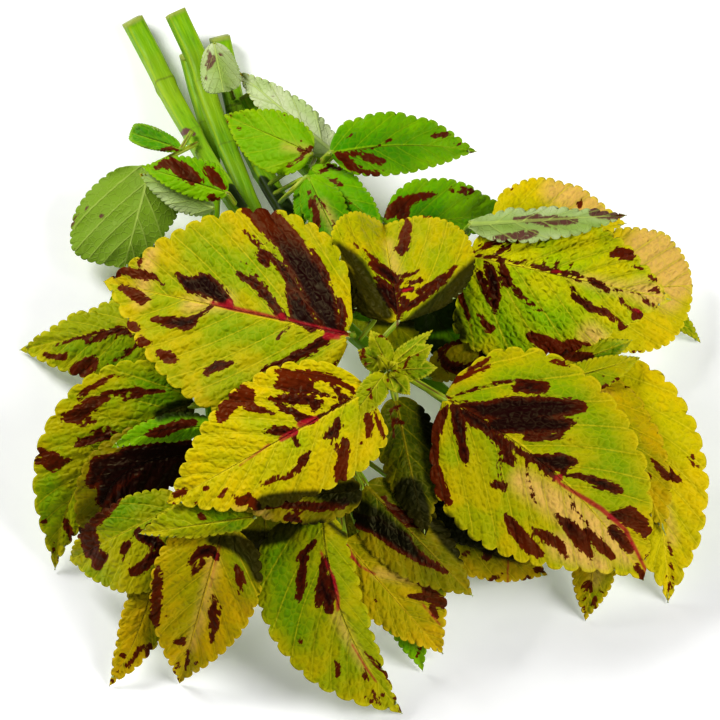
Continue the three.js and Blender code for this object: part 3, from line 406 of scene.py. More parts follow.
MARKS["leaf_right_quilted"] = {
    "maroon": [
        [(478, 274, 4), (486, 292, 4)],
        [(472, 253, 1.5), (490, 244, 3), (505, 238, 6), (520, 237, 6), (532, 238, 3), (538, 237, 1)],
        [(495, 253, 2), (508, 248, 3)],
        [(470, 255, 1.5), (500, 258, 1.3), (530, 266, 1), (560, 275, 0.9), (600, 287, 0.8),
         (645, 295, 0.6)],
        [(524, 261, 1.5), (540, 267, 2), (555, 271, 2.5), (575, 275, 2.5), (583, 277, 1)],
        [(588, 279, 2), (600, 285, 4), (607, 291, 2)], [(541, 266, 1), (548, 257, 0.8)],
        [(552, 269, 1), (560, 259, 0.8)], [(565, 272, 1.2), (573, 262, 0.8)],
        [(486, 262, 2), (490, 272, 6), (494, 285, 7), (495, 298, 5), (494, 310, 3), (498, 315, 1)],
        [(478, 275, 1), (483, 285, 2), (488, 300, 3), (495, 310, 2)],
        [(500, 262, 3), (505, 275, 4), (510, 285, 4)], [(504, 280, 3), (517, 292, 4), (523, 298, 3)],
        [(525, 300, 3), (532, 306, 3), (540, 311, 2)],
        [(478, 313, 1.5), (483, 322, 4), (488, 328, 5), (493, 328, 3)], [(461, 268, 2), (464, 276, 2)],
        [(452, 279, 2), (458, 289, 4), (462, 300, 3), (466, 312, 2.5), (471, 326, 2)],
        [(530, 337, 5), (545, 343, 8), (560, 352, 9), (575, 355, 6)],
        [(570, 345, 7), (585, 347, 5), (590, 349, 3)], [(552, 358, 6), (562, 366, 4)],
        [(571, 288, 2), (575, 298, 4), (590, 308, 4), (605, 313, 4), (618, 321, 2), (624, 330, 5),
         (629, 333, 4)],
        [(618, 298, 2.5), (621, 300, 3)], [(622, 303, 1.5), (632, 310, 2), (640, 313, 3)],
        [(634, 316, 4), (643, 317, 3)], [(611, 255, 3), (618, 253, 6), (628, 254, 5), (632, 257, 3)],
        [(632, 266, 1), (641, 269, 2)], [(648, 276, 2), (652, 279, 2), (659, 280, 1.5)],
        [(650, 291, 1.5), (656, 289, 3), (659, 292, 2)], [(643, 299, 2), (650, 304, 2), (660, 309, 1.5)],
    ],
    "pink": [[(455, 276, 1.5)], [(640, 312, 1.5), (634, 309, 1.5)], [(552, 271, 1), (560, 272, 1)]],
    "peach": [
        [(640, 290, 10), (655, 295, 12)], [(590, 335, 10), (605, 345, 10)],
        [(575, 277, 2), (600, 284, 4), (640, 292, 5)],
    ],
    "green": [
        [(490, 300, 14), (520, 350, 16)], [(462, 290, 8), (480, 330, 10)],
        [(530, 310, 14), (560, 325, 12)],
    ],
    "shade": [[(456, 312, 4), (462, 336, 6)]],
}
print("streaks laid out for", len(MARKS), "pieces")

# %% Where the colour is at the back
MARKS["leaf_right_pale"] = {
    "maroon": [
        [(644, 237, 1), (648, 236, 1)], [(673, 233, 1), (677, 233, 1)], [(632, 352, 1), (642, 350, 1)],
    ],
    "peach": [[(650, 245, 22), (680, 270, 24), (670, 300, 10)]],
}
MARKS["leaf_back_pale"] = {
    "maroon": [[(580, 206, 3), (581, 201, 2.5), (580, 197, 1)], [(513, 189, 1)]],
    "peach": [[(555, 190, 12), (590, 200, 22)]],
}
MARKS["leaf_turned_edge"] = {
    "green": [[(480, 228, 9), (600, 226, 7)]],
    "maroon": [
        [(495, 239, 2), (515, 237, 4), (535, 233, 3)], [(598, 216, 3), (620, 215, 5)],
        [(513, 219, 2), (535, 220, 5), (555, 221, 5), (575, 221, 3)],
        [(594, 212, 5), (606, 212, 7), (616, 210, 8), (625, 214, 8)], [(556, 231, 1.5)],
    ],
}
MARKS["leaf_back_long"] = {
    "maroon": [
        [(387, 217, 3), (393, 210, 7), (402, 205, 9), (402, 214, 7)],
        [(400, 203, 5), (415, 198, 5), (428, 195, 3.5), (435, 194, 2)],
        [(452, 188, 3), (462, 190, 4), (472, 191, 3)],
    ],
    "green": [[(400, 200, 10), (430, 215, 10)]],
}
MARKS["leaf_back_green"] = {
    "maroon": [
        [(337, 152, 3), (345, 158, 5), (352, 166, 4), (360, 170, 3)],
        [(352, 153, 2), (362, 155, 3), (372, 158, 4), (383, 161, 3)],
        [(358, 168, 2), (368, 172, 3), (378, 174, 3)], [(358, 178, 1.5), (372, 178, 3)],
        [(345, 152, 1.5), (370, 148, 1), (392, 138, 1)],
        [(434, 134, 2), (440, 134, 3), (446, 133, 2), (452, 134, 1)], [(455, 142, 1.2), (460, 142, 1)],
        [(345, 139, 1), (352, 134, 1)], [(472, 153, 2), (477, 152, 1)],
    ],
    "green": [[(340, 150, 20), (400, 150, 14)]],
}
MARKS["leaf_back_striped"] = {
    "maroon": [
        [(320, 172, 2), (328, 166, 3), (338, 168, 3)], [(325, 178, 2), (335, 181, 3), (342, 184, 2)],
        [(332, 200, 2), (345, 202, 2), (350, 203, 1)], [(344, 215, 1.5)], [(316, 160, 2), (325, 160, 2)],
    ],
    "green": [[(330, 210, 14), (375, 215, 20)]],
}
MARKS["leaf_back_lime"] = {
    "maroon": [
        [(230, 114, 1.5)], [(226, 120, 1.5)], [(238, 127, 2)], [(243, 115, 1)], [(236, 143, 1.5)],
        [(284, 115, 1)], [(301, 140, 1.5)], [(298, 148, 2), (304, 152, 3), (310, 148, 3)],
        [(288, 165, 2), (296, 160, 2), (302, 155, 2)],
    ],
    "peach": [[(285, 145, 0.5), (308, 150, 1)]],
}
MARKS["leaf_turned_long"] = {"maroon": [[(272, 95, 1)], [(284, 115, 1)]]}
MARKS["leaf_cut_end"] = {
    "maroon": [[(207, 48, 2), (210, 57, 4), (206, 66, 3)], [(204, 76, 2)], [(219, 52, 2)]],
    "green": [[(215, 60, 9), (225, 80, 9)]],
}
MARKS["leaf_turned_wide"] = {
    "maroon": [[(97, 213, 1), (101, 216, 1.5)], [(67, 228, 1), (75, 215, 1.2), (85, 206, 1)]],
    "green": [[(85, 215, 70), (140, 230, 70)]],
}
MARKS["leaf_turned_small"] = {"green": [[(150, 175, 8), (200, 205, 8)]]}
MARKS["leaf_banded"] = {
    "maroon": [
        [(152, 168, 1), (162, 163, 4), (172, 163, 7), (182, 170, 8), (192, 177, 7), (199, 180, 4)],
        [(203, 166, 2), (210, 172, 5), (217, 180, 6), (224, 187, 3)], [(210, 196, 4), (216, 200, 4)],
    ],
}
MARKS["leaf_ear"] = {
    "maroon": [[(160, 148, 2), (170, 147, 2), (176, 148, 1)]],
    "green": [[(140, 135, 20), (165, 145, 14)]],
}
print("streaks laid out for", len(MARKS), "pieces")

# %% Where the colour is at the left
MARKS["leaf_left_point"] = {
    "maroon": [
        [(85, 341, 3), (106, 337, 3)],
        [(55, 345, 1), (75, 338, 1.5), (100, 332, 2), (118, 330, 4), (130, 333, 4)],
        [(72, 370, 4), (82, 365, 6), (92, 360, 5), (95, 366, 4)], [(75, 372, 5), (88, 372, 5)],
        [(45, 355, 3), (55, 357, 3), (63, 357, 4), (66, 353, 2)], [(52, 346, 1.2)],
        [(107, 362, 0.8), (108, 372, 0.8)],
        [(112, 361, 0.8), (128, 352, 3), (137, 344, 3), (142, 340, 3)], [(82, 337, 0.8), (84, 345, 0.6)],
        [(98, 334, 0.8), (99, 342, 0.6)], [(112, 332, 0.8), (114, 340, 0.6)],
    ],
    "green": [[(60, 348, 8), (80, 350, 8)], [(110, 365, 10), (130, 360, 8)]],
}
MARKS["leaf_left_outer"] = {
    "maroon": [
        [(76, 444, 3), (92, 440, 5), (108, 436, 4)], [(96, 452, 2), (118, 444, 2), (136, 430, 2)],
        [(66, 522, 3), (71, 534, 4), (74, 545, 2)], [(125, 398, 3), (150, 392, 3), (165, 391, 2)],
        [(80, 396, 3), (92, 388, 3), (105, 380, 3), (115, 376, 2), (125, 376, 1)],
        [(105, 394, 2), (125, 391, 3), (140, 391, 3), (152, 393, 1)],
        [(66, 418, 5), (78, 415, 8), (92, 405, 7), (105, 398, 5), (112, 395, 2)],
        [(82, 424, 3), (95, 420, 2)], [(85, 440, 2), (97, 432, 3), (108, 428, 3), (116, 432, 2)],
        [(78, 437, 1)],
        [(40, 450, 3), (48, 455, 5), (58, 458, 5), (50, 465, 6), (60, 464, 4), (70, 460, 2)],
        [(36, 460, 3), (45, 462, 4)], [(54, 470, 3)], [(40, 522, 2), (45, 522, 3)],
        [(53, 543, 1.2), (55, 555, 1.2)], [(58, 558, 1.5)],
    ],
    "green": [[(140, 380, 14), (165, 390, 20)], [(50, 480, 8), (45, 520, 8)]],
    "shade": [[(160, 414, 6), (180, 408, 10), (205, 412, 14)]],
}
MARKS["leaf_left_sliver"] = {
    "maroon": [[(148, 434, 3), (163, 431, 6), (178, 425, 5), (195, 422, 4)]],
    "shade": [[(160, 416, 5), (182, 410, 7), (206, 411, 8)]],
}
MARKS["leaf_left_dark"] = {
    "maroon": [
        [(66, 541, 6), (80, 533, 7)], [(92, 482, 6), (100, 466, 10), (120, 456, 6)],
        [(103, 500, 7), (112, 476, 14), (135, 460, 17), (165, 458, 19), (190, 458, 19)],
        [(104, 520, 8), (125, 497, 13), (160, 478, 19), (190, 476, 19)],
    ],
}
MARKS["leaf_left_front"] = {
    "maroon": [
        [(83, 532, 7), (97, 516, 9), (110, 502, 9), (120, 494, 5)], [(88, 528, 9), (92, 545, 9)],
        [(90, 552, 6), (102, 557, 7), (98, 565, 5)], [(124, 552, 3), (128, 545, 4), (131, 541, 3)],
        [(124, 558, 2)], [(140, 533, 6), (152, 538, 8), (162, 545, 6)],
        [(135, 570, 5), (145, 565, 6), (155, 555, 6), (162, 552, 4)], [(150, 526, 3), (156, 523, 2)],
        [(69, 553, 2)], [(105, 586, 0.8)],
    ],
    "green": [[(110, 520, 12), (135, 500, 12)], [(85, 575, 5), (100, 570, 5)]],
}
print("streaks laid out for", len(MARKS), "pieces")

# %% Where the colour is in front
MARKS["leaf_front_curled"] = {
    "maroon": [
        [(160, 545, 4), (150, 555, 5)], [(154, 616, 5), (160, 612, 5), (158, 625, 2)],
        [(165, 640, 3), (163, 645, 2)], [(140, 648, 3), (150, 645, 3), (148, 655, 3)],
        [(152, 652, 2), (160, 658, 3), (168, 655, 2), (171, 650, 1)],
        [(128, 665, 2), (133, 658, 3), (138, 652, 3)], [(118, 650, 1), (125, 655, 2)], [(112, 662, 1.5)],
        [(110, 672, 1)], [(118, 670, 1)], [(113, 680, 1.5)],
    ],
    "pink": [[(163, 570, 2), (160, 590, 2), (156, 610, 1.5)]],
    "green": [[(165, 625, 7), (155, 640, 6)]],
}
MARKS["leaf_front_gold"] = {
    "maroon": [
        [(160, 568, 4), (158, 595, 6), (156, 620, 5)],
        [(190, 566, 2), (195, 556, 4), (203, 550, 6), (212, 549, 6), (217, 555, 4)],
        [(192, 575, 1), (198, 568, 3), (205, 560, 3)],
        [(214, 594, 2), (215, 602, 3), (213, 612, 5), (216, 620, 5), (214, 630, 4), (212, 640, 2)],
        [(222, 603, 2), (220, 612, 3)], [(237, 565, 3), (241, 575, 4), (241, 585, 3), (241, 592, 1)],
        [(236, 578, 2), (245, 582, 2)], [(175, 640, 2), (182, 640, 4), (186, 636, 2)],
        [(189, 650, 2), (188, 660, 2), (187, 668, 1)], [(197, 661, 2)], [(180, 662, 2), (177, 667, 1.5)],
        [(185, 652, 1.2)], [(174, 659, 1)], [(176, 671, 1.2)], [(179, 679, 1.2)], [(168, 614, 1)],
    ],
    "pink": [[(221, 545, 1.2), (217, 560, 1.2), (211, 585, 1)]],
    "peach": [[(215, 560, 2.5), (208, 590, 2.5), (200, 620, 2), (192, 645, 1)]],
    "green": [[(240, 560, 8), (248, 590, 6)]],
    "shade": [[(212, 538, 5), (235, 541, 9), (256, 552, 13), (260, 575, 7)]],
}
MARKS["leaf_spout"] = {
    "maroon": [[(203, 515, 4), (206, 517, 2)], [(208, 508, 1.5)]],
    "green": [[(200, 500, 8), (240, 530, 12)]],
}
MARKS["leaf_front_brown"] = {
    "maroon": [
        [(240, 505, 3), (247, 499, 6), (255, 497, 5), (263, 493, 4)], [(238, 513, 3)],
        [(256, 515, 1.5), (258, 522, 1.5), (265, 530, 2)], [(290, 516, 5), (297, 517, 5), (300, 520, 3)],
        [(275, 493, 3), (282, 490, 2)], [(262, 505, 4), (285, 503, 4), (320, 506, 5), (345, 502, 5)],
    ],
    "peach": [[(262, 512, 4), (268, 530, 3)], [(240, 508, 5)]],
    "green": [[(320, 505, 8), (350, 495, 10)]],
    "shade": [[(308, 488, 5), (330, 492, 10), (352, 492, 12)], [(306, 524, 4), (322, 522, 5)]],
}
MARKS["leaf_front_long"] = {
    "maroon": [
        [(304, 552, 4), (301, 580, 5), (300, 598, 3)], [(322, 565, 4), (324, 585, 6), (330, 608, 5)],
        [(299, 597, 3), (303, 580, 4), (305, 565, 3), (308, 555, 2)],
        [(300, 557, 3), (308, 548, 3), (315, 540, 3)],
        [(318, 603, 3), (320, 590, 4), (322, 578, 4), (325, 565, 4), (325, 558, 3)],
        [(328, 607, 3), (332, 598, 4), (333, 585, 4), (331, 575, 3)],
        [(365, 651, 1.5), (372, 658, 2.5), (382, 668, 2)],
        [(382, 668, 1.5), (392, 680, 3), (395, 686, 1.5)],
        [(336, 658, 1.5), (338, 666, 3), (337, 673, 2)], [(364, 668, 1.5), (364, 674, 2), (367, 678, 2)],
        [(383, 693, 1.5)], [(372, 688, 1), (377, 697, 2), (379, 701, 2)],
        [(366, 696, 1.2), (371, 699, 1.2)], [(394, 697, 1.5), (397, 697, 1.5)],
        [(400, 704, 2.5), (401, 711, 1.5)], [(300, 640, 2), (302, 634, 1)],
        [(263, 572, 2), (263, 578, 2.5)], [(303, 629, 0.8)], [(285, 629, 0.8)], [(324, 682, 1)],
    ],
    "pink": [
        [(318, 545, 1), (326, 560, 1.2), (333, 575, 1.8), (338, 595, 2.2), (338, 608, 2)],
        [(352, 642, 0.8), (366, 666, 1), (376, 680, 0.8)],
    ],
    "peach": [[(338, 615, 2), (350, 640, 2), (365, 665, 1)]],
    "green": [[(275, 555, 16), (283, 595, 14), (300, 640, 8)]],
    "shade": [[(258, 538, 9), (285, 530, 11), (300, 520, 6)], [(330, 522, 3), (345, 535, 3)]],
}
MARKS["leaf_front_right"] = {
    "maroon": [
        [(385, 554, 1.5), (398, 557, 2), (402, 558, 1)],
        [(410, 595, 3), (425, 595, 5), (440, 600, 6), (455, 606, 5), (462, 610, 5)],
        [(418, 580, 2), (424, 586, 4), (432, 594, 6)], [(432, 605, 4), (435, 615, 3)],
        [(453, 615, 4), (458, 612, 4)], [(375, 600, 1.5), (378, 599, 1)], [(359, 605, 1)],
    ],
    "pink": [
        [(346, 545, 2.5), (352, 555, 1.8), (360, 565, 1.2), (375, 573, 1)],
        [(420, 600, 1), (440, 624, 0.8)],
    ],
    "peach": [[(378, 572, 2), (410, 578, 1)]],
    "green": [[(440, 590, 12), (455, 595, 10)]],
}
MARKS["leaf_front_green"] = {
    "maroon": [
        [(403, 604, 1), (412, 612, 1.5), (418, 617, 2), (422, 619, 1.5)],
        [(415, 634, 1), (425, 634, 1.5), (432, 638, 1.5)],
        [(418, 640, 1.5), (420, 645, 1.5), (417, 655, 1)], [(434, 658, 1.5)],
    ],
    "pink": [[(418, 638, 1.5), (422, 643, 1.5)], [(428, 658, 1.5)]],
    "peach": [[(394, 607, 1.5), (408, 625, 1.5), (418, 640, 1)]],
}
MARKS["leaf_front_olive"] = {
    "maroon": [
        [(350, 518, 7), (375, 524, 9), (400, 541, 9), (420, 557, 6), (446, 571, 2)],
        [(390, 505, 4), (400, 513, 5), (410, 522, 5), (415, 526, 3)], [(383, 497, 2), (390, 505, 3)],
        [(400, 530, 1.5), (410, 537, 2)],
    ],
    "green": [[(375, 500, 14), (430, 560, 10)]],
    "shade": [
        [(350, 505, 12), (375, 518, 11), (400, 536, 8), (415, 551, 4)],
        [(424, 512, 5), (446, 536, 9), (462, 556, 6)],
    ],
}
MARKS["leaf_front_dark"] = {
    "maroon": [[(405, 490, 6), (415, 500, 6)]],
    "green": [[(420, 505, 30), (490, 540, 30)]],
    "shade": [
        [(400, 470, 16), (430, 480, 20), (440, 510, 16), (445, 532, 14), (475, 542, 14), (500, 550, 10)],
    ],
}
MARKS["leaf_front_low"] = {
    "maroon": [
        [(463, 553, 3), (470, 551, 2)], [(486, 555, 5), (492, 545, 6), (497, 540, 4)],
        [(513, 555, 3), (516, 548, 2)], [(488, 581, 2), (495, 577, 2.5), (502, 573, 1.5)],
        [(524, 584, 3), (529, 578, 3)], [(538, 569, 4), (543, 570, 3)], [(455, 530, 6), (500, 535, 8)],
    ],
    "pink": [[(508, 555, 0.7), (507, 583, 0.8)]],
    "green": [[(470, 540, 8)]],
    "shade": [[(436, 522, 12), (470, 532, 14), (500, 546, 13), (520, 556, 8), (535, 552, 5)]],
}
MARKS["leaf_front_fang"] = {
    "maroon": [
        [(584, 586, 3), (588, 583, 3.5), (590, 590, 2)], [(593, 603, 2.5), (595, 597, 2.5)],
        [(600, 592, 2)], [(581, 593, 1)], [(583, 598, 1.5)], [(584, 607, 1.5)], [(595, 607, 1.5)],
        [(586, 616, 1)], [(585, 612, 1)], [(592, 612, 1)], [(590, 603, 1)],
    ],
    "peach": [[(596, 572, 3), (595, 582, 1)]],
    "green": [[(590, 600, 8), (605, 580, 8)]],
}
print("streaks laid out for", len(MARKS), "pieces")

# %% Where the colour is at the right
MARKS["leaf_right_hanging"] = {
    "maroon": [
        [(652, 456, 3), (660, 464, 4), (668, 473, 5), (677, 481, 3), (680, 480, 2)],
        [(662, 476, 3), (668, 477, 3)], [(688, 459, 1.5), (693, 455, 2)],
        [(692, 463, 2), (697, 467, 2.5)], [(667, 542, 1.5), (670, 550, 2.2), (671, 555, 1)],
        [(669, 563, 1), (672, 568, 1.5)], [(667, 577, 1.2)], [(672, 577, 1.2)], [(672, 585, 1)],
        [(667, 595, 1.2)], [(669, 598, 1)], [(670, 582, 1.8), (668, 588, 1.8)],
        [(620, 388, 1.5), (627, 387, 1.5)], [(618, 380, 1), (624, 379, 1)],
    ],
    "peach": [[(665, 505, 2), (672, 540, 2)]],
}
MARKS["leaf_right_tucked"] = {
    "maroon": [
        [(650, 458, 2), (658, 466, 4), (666, 476, 4)], [(601, 398, 1.5), (608, 407, 2.5), (613, 414, 2)],
        [(640, 474, 2), (646, 473, 2.5), (649, 478, 2)], [(630, 409, 1.2)],
    ],
    "peach": [[(603, 398, 2.5)]],
    "green": [[(620, 420, 5), (640, 470, 5)]],
}
MARKS["leaf_right_fold"] = {
    "maroon": [
        [(560, 354, 5), (580, 357, 6), (592, 356, 3)], [(577, 373, 1.2), (585, 371, 1.5), (592, 368, 1)],
        [(592, 367, 2), (597, 364, 2.2), (600, 364, 1)], [(613, 369, 1.2), (619, 368, 1.2)],
    ],
    "green": [[(600, 360, 10), (625, 345, 14)]],
}
MARKS["leaf_right_spear"] = {
    "maroon": [[(600, 378, 1.5), (603, 375, 1.5)], [(597, 390, 1.5), (607, 385, 1.2), (618, 378, 0.8)]],
    "green": [[(600, 380, 8)]],
}
MARKS["leaf_right_hook"] = {"green": [[(680, 320, 8), (695, 335, 8)]]}
MARKS["leaf_collar"] = {
    "maroon": [
        [(440, 350, 3), (450, 344, 3), (460, 341, 3)],
        [(477, 344, 5), (488, 350, 8), (482, 364, 7), (466, 370, 6), (452, 368, 6), (443, 360, 5)],
    ],
}
print("streaks laid out for", len(MARKS), "pieces")

# %% Where the colour is deep in the bunch, on the tip and on the stems
MARKS["leaf_under_heart"] = {"shade": [[(372, 320, 6), (400, 320, 8), (430, 325, 8)]]}
MARKS["leaf_under_front"] = {"shade": [[(245, 540, 12), (270, 541, 12)]]}
MARKS["leaf_under_middle"] = {
    "shade": [[(405, 320, 20), (450, 310, 20)], [(400, 350, 16), (440, 350, 12)]],
}
MARKS["leaf_heart_shade"] = {
    "maroon": [
        [(395, 408, 3), (402, 404, 1)], [(393, 419, 3), (401, 422, 2)], [(391, 410, 1), (393, 440, 1)],
    ],
    "green": [[(410, 430, 40), (425, 480, 30)]],
    "shade": [[(408, 492, 16), (414, 510, 16), (420, 530, 12)], [(425, 410, 8), (432, 440, 8)]],
}
MARKS["leaf_inner_dark"] = {
    "maroon": [
        [(310, 192, 2), (313, 205, 4), (317, 220, 4), (316, 238, 2)],
        [(316, 195, 1), (330, 215, 1.5), (336, 232, 1)],
    ],
    "peach": [[(322, 205, 2.5), (335, 228, 2.5), (352, 262, 2)]],
    "green": [[(320, 220, 30), (350, 270, 20)]],
    "shade": [[(348, 262, 3), (356, 282, 5)]],
}
MARKS["leaf_inner_green"] = {
    "maroon": [
        [(336, 260, 1.5), (348, 272, 2), (353, 280, 2)], [(341, 280, 2), (347, 287, 2)],
        [(352, 312, 2), (362, 300, 2.5), (366, 290, 1)],
    ],
    "green": [[(345, 265, 14), (350, 300, 14)]],
}
MARKS["leaf_sprig"] = {"green": [[(300, 195, 10), (302, 215, 10)]]}
MARKS["growing_tip"] = {
    "maroon": [
        [(409, 357, 1), (404, 366, 1.2), (400, 368, 1)], [(404, 366, 1), (409, 368, 0.8)],
        [(394, 371, 0.8), (397, 371, 1.2), (401, 367, 0.8)], [(405, 373, 0.7), (410, 373, 0.7)],
        [(417, 355, 1.1)], [(403, 356, 0.8)], [(389, 357, 1)], [(388, 380, 0.9)],
        [(377, 351, 0.6), (381, 355, 0.6)], [(361, 348, 1), (363, 353, 1.2), (361, 359, 1.2)],
        [(363, 353, 1), (366, 363, 1.2), (367, 366, 0.8)], [(355, 354, 0.8), (363, 350, 0.8)],
        [(372, 360, 1), (371, 364, 0.8)], [(350, 355, 0.8)], [(368, 388, 1.1), (372, 388, 0.9)],
        [(371, 391, 1.5), (370, 397, 1.5)], [(369, 403, 1.2), (372, 401, 0.9)], [(358, 408, 1)],
        [(354, 412, 1)], [(351, 415, 0.6)], [(358, 402, 0.5)],
        [(377, 337, 1), (382, 336, 2), (387, 338, 1)],
    ],
    "green": [[(352, 365, 12), (366, 356, 8)], [(425, 372, 12)], [(410, 338, 12)], [(398, 388, 8)]],
    "shade": [[(384, 369, 2)], [(394, 378, 2), (398, 384, 1)], [(377, 360, 2), (372, 352, 1)]],
}
MARKS["stem_left"] = {
    "maroon": [[(178, 134, 2), (184, 129, 4), (192, 132, 3)], [(198, 113, 2), (203, 117, 2)]],
    "shade": [[(230, 188, 6), (242, 202, 7)]],
}
MARKS["stem_right"] = {"shade": [[(262, 178, 5), (270, 192, 9), (286, 212, 12)]]}
print("streaks laid out for", len(MARKS), "pieces")

# %% [markdown]
# ## How far a point is from a streak
#
# The colour could be painted on an image, but an image has a fixed fineness and has to be
# wrapped round each leaf. Here every point of a leaf is told how far it lies from the nearest
# streak of each kind, and the material draws the edge itself, as sharp or as ragged as that
# kind of colour has it.

# %% How far a point is from a streak
SHEET_SCALE = 2.5  # units of the layout sheet to the millimetre
SHEET_MIDDLE = 360
FAR = 60.0  # the distance to a streak where a piece has none, in millimetres


def marks_of(name, kind):
    """The streaks of one kind on a piece, as rows of (u, v, half width) in millimetres."""
    streaks = []
    for line in MARKS.get(name, {}).get(kind, []):
        sheet = np.array(line, float)
        u = (sheet[:, 0] - SHEET_MIDDLE) / SHEET_SCALE
        v = (SHEET_MIDDLE - sheet[:, 1]) / SHEET_SCALE
        streaks.append(np.stack([u, v, sheet[:, 2] / SHEET_SCALE], axis=1))
    return streaks


def distance_to_marks(name, kind, u, v):
    """How far each point (u, v) lies outside the nearest streak; negative inside it."""
    nearest = np.full(u.shape, FAR)
    for streak in marks_of(name, kind):
        ends = list(zip(streak[:-1], streak[1:])) or [(streak[0], streak[0])]
        for a, b in ends:
            along = b[:2] - a[:2]
            size = max(along @ along, 1e-9)
            share = ((u - a[0]) * along[0] + (v - a[1]) * along[1]) / size
            share = np.clip(share, 0, 1)
            away = np.hypot(u - a[0] - along[0] * share, v - a[1] - along[1] * share)
            nearest = np.minimum(nearest, away - (a[2] + (b[2] - a[2]) * share))
    return nearest


print("pieces with streaks of their own:", len(MARKS))

# %% [markdown]
# ## The shape of a blade
#
# A coleus blade is egg-shaped, pointed, and scalloped along its margin. It could be drawn as a
# curve and filled, but then no line of the mesh would follow the veins. So a blade is a grid of
# points. Its rows run across the leaf, from base to tip, and are spaced evenly along the
# margin, so that each scallop gets the same number of points. Its columns run along the leaf,
# from the right margin over the midrib to the left margin.

# %% The shape of a blade
WIDE_BASE = 0.55  # how quickly a blade widens from its start: lower is rounder
VEIN_CURVE = 1.6  # how the side veins turn forward towards the margin
LOBE_SIZE = 12
FIRST_T = 0.0008  # the first and last rows, as shares of the midrib
LAST_T = 0.9985
FINE_T = 600  # steps for measuring the margin
TOOTH_WIDTH = 0.075  # width of a scallop, as a share of the leaf's length
TOOTH_POINTS = 6  # points along one scallop
FEWEST_TEETH = 6
COLUMN_WIDTH = 2.0  # distance between columns, in millimetres
FEWEST_COLUMNS = 5
RIB_COLUMN = 0.6  # one more column close to the midrib, and two close to the margin
EDGE_COLUMNS = (1.6, 0.7)
CLEAR_OF_RIB = 1.2  # no other column comes closer than these
CLEAR_OF_EDGE = 2.4
NARROWEST = 2.4  # the columns of a bud are spaced as if it were this wide, or they would cross


class Blade:
    """The smooth shape of one leaf, as it was laid out."""

    def __init__(self, layout):
        values = {**FLAT_LEAF, **layout}
        self.start = np.array(values["from"], float)
        chord = np.array(values["to"], float) - self.start
        self.length = math.hypot(*chord)
        self.ahead = chord / self.length
        self.left = np.array([-self.ahead[1], self.ahead[0]])
        ends = zip((values["from"], values["to"]), values["high"])
        self.heights = [out_of(end[1], z) for end, z in ends]
        for key in ("bow", "arch", "wide", "fall", "sweep", "lobe", "blunt", "foot"):
            setattr(self, key, values[key])

    def share(self, t, k):
        """Half width at t, as a share of the widest."""
        widest = WIDE_BASE / (WIDE_BASE + self.blunt[k])
        outline = t**WIDE_BASE * (1 - t) ** self.blunt[k]
        return outline / (widest**WIDE_BASE * (1 - widest) ** self.blunt[k])

    def half_width(self, t, right):
        """Half width at t in millimetres, on the right where right is true, else on the left."""
        return np.where(right, self.wide[1] * self.share(t, 1), self.wide[0] * self.share(t, 0))

    def side(self, t, q, k):
        """Points (u, v, w) at t along the midrib and q of the way to the left (k 0) or right."""
        sign = 1 if k == 0 else -1
        slant = 4 * self.bow * (1 - 2 * t) / self.length
        size = np.hypot(1, slant)
        tangent = (self.ahead + self.left * slant[..., None]) / size[..., None]
        across = np.stack([-tangent[..., 1], tangent[..., 0]], axis=-1) * sign
        share = self.share(t, k)
        reach = self.wide[k] * share * q
        back = LOBE_SIZE * self.lobe[k] * t * (1 - t) ** 4
        forward = self.length * (self.sweep[k] * np.sin(np.pi * t) - back) * q**VEIN_CURVE
        bowed = 4 * self.bow * t * (1 - t)
        flat = self.start + self.ahead * (self.length * t)[..., None]
        flat = flat + self.left * bowed[..., None] + tangent * forward[..., None]
        flat = flat + across * reach[..., None]
        w = self.heights[0] + (self.heights[1] - self.heights[0]) * t
        w = w + 4 * self.arch * t * (1 - t) - self.fall[k] * share * q**VEIN_CURVE
        return np.concatenate([flat, w[..., None]], axis=-1)

    def rows(self):
        """The values of t that are evenly spaced along the margins, and their spacing."""
        t = np.linspace(FIRST_T, LAST_T, FINE_T)
        steps = np.zeros(FINE_T - 1)
        for k in (0, 1):
            margin = self.side(t, np.ones(FINE_T), k)
            steps += np.linalg.norm(np.diff(margin, axis=0), axis=1) / 2
        along = np.concatenate([[0], np.cumsum(steps)])
        teeth = max(FEWEST_TEETH, round(along[-1] / (TOOTH_WIDTH * self.length)))
        even = np.linspace(0, along[-1], teeth * TOOTH_POINTS + 1)
        return np.interp(even, along, t), even, along[-1] / teeth

    def columns(self):
        """The values of q from midrib to margin, closer together near both."""
        widest = max(*self.wide, NARROWEST)
        count = max(FEWEST_COLUMNS, round(widest / COLUMN_WIDTH))
        inner = np.linspace(0, 1, count + 1)[1:-1]
        inner = inner[(inner > CLEAR_OF_RIB / widest) & (inner < 1 - CLEAR_OF_EDGE / widest)]
        near_edge = 1 - np.array(EDGE_COLUMNS) / widest
        return np.concatenate([[0, RIB_COLUMN / widest], inner, near_edge, [1]])


sample = Blade(LEAVES["leaf_great_left"])
print("the largest blade:", round(sample.length), "mm long,", sum(sample.wide), "mm wide")

# %% [markdown]
# ## The scallops and the grid
#
# Each scallop is a round arch, and two of them meet in a sharp notch. They start a little way
# along the margin and get smaller towards the tip. The two columns inside the margin follow
# it with less depth, so that the mesh isn't folded there.

# %% The scallops and the grid
TOOTH_DEPTH = 0.021  # as a share of the leaf's length
TOOTH_LEVEL = 0.55  # this much of a scallop lies inside the smooth margin
TEETH_START = 0.09  # shares of the margin: where the scallops start,
TEETH_GROW = 0.12  # how long they take to reach full size,
TEETH_END = 0.06  # and how far from the tip they get smaller,
LEAST_TOOTH = 0.35  # down to this share
TOOTH_COLUMNS = (1.0, 0.72, 0.35)  # how far the margin and the next two columns follow


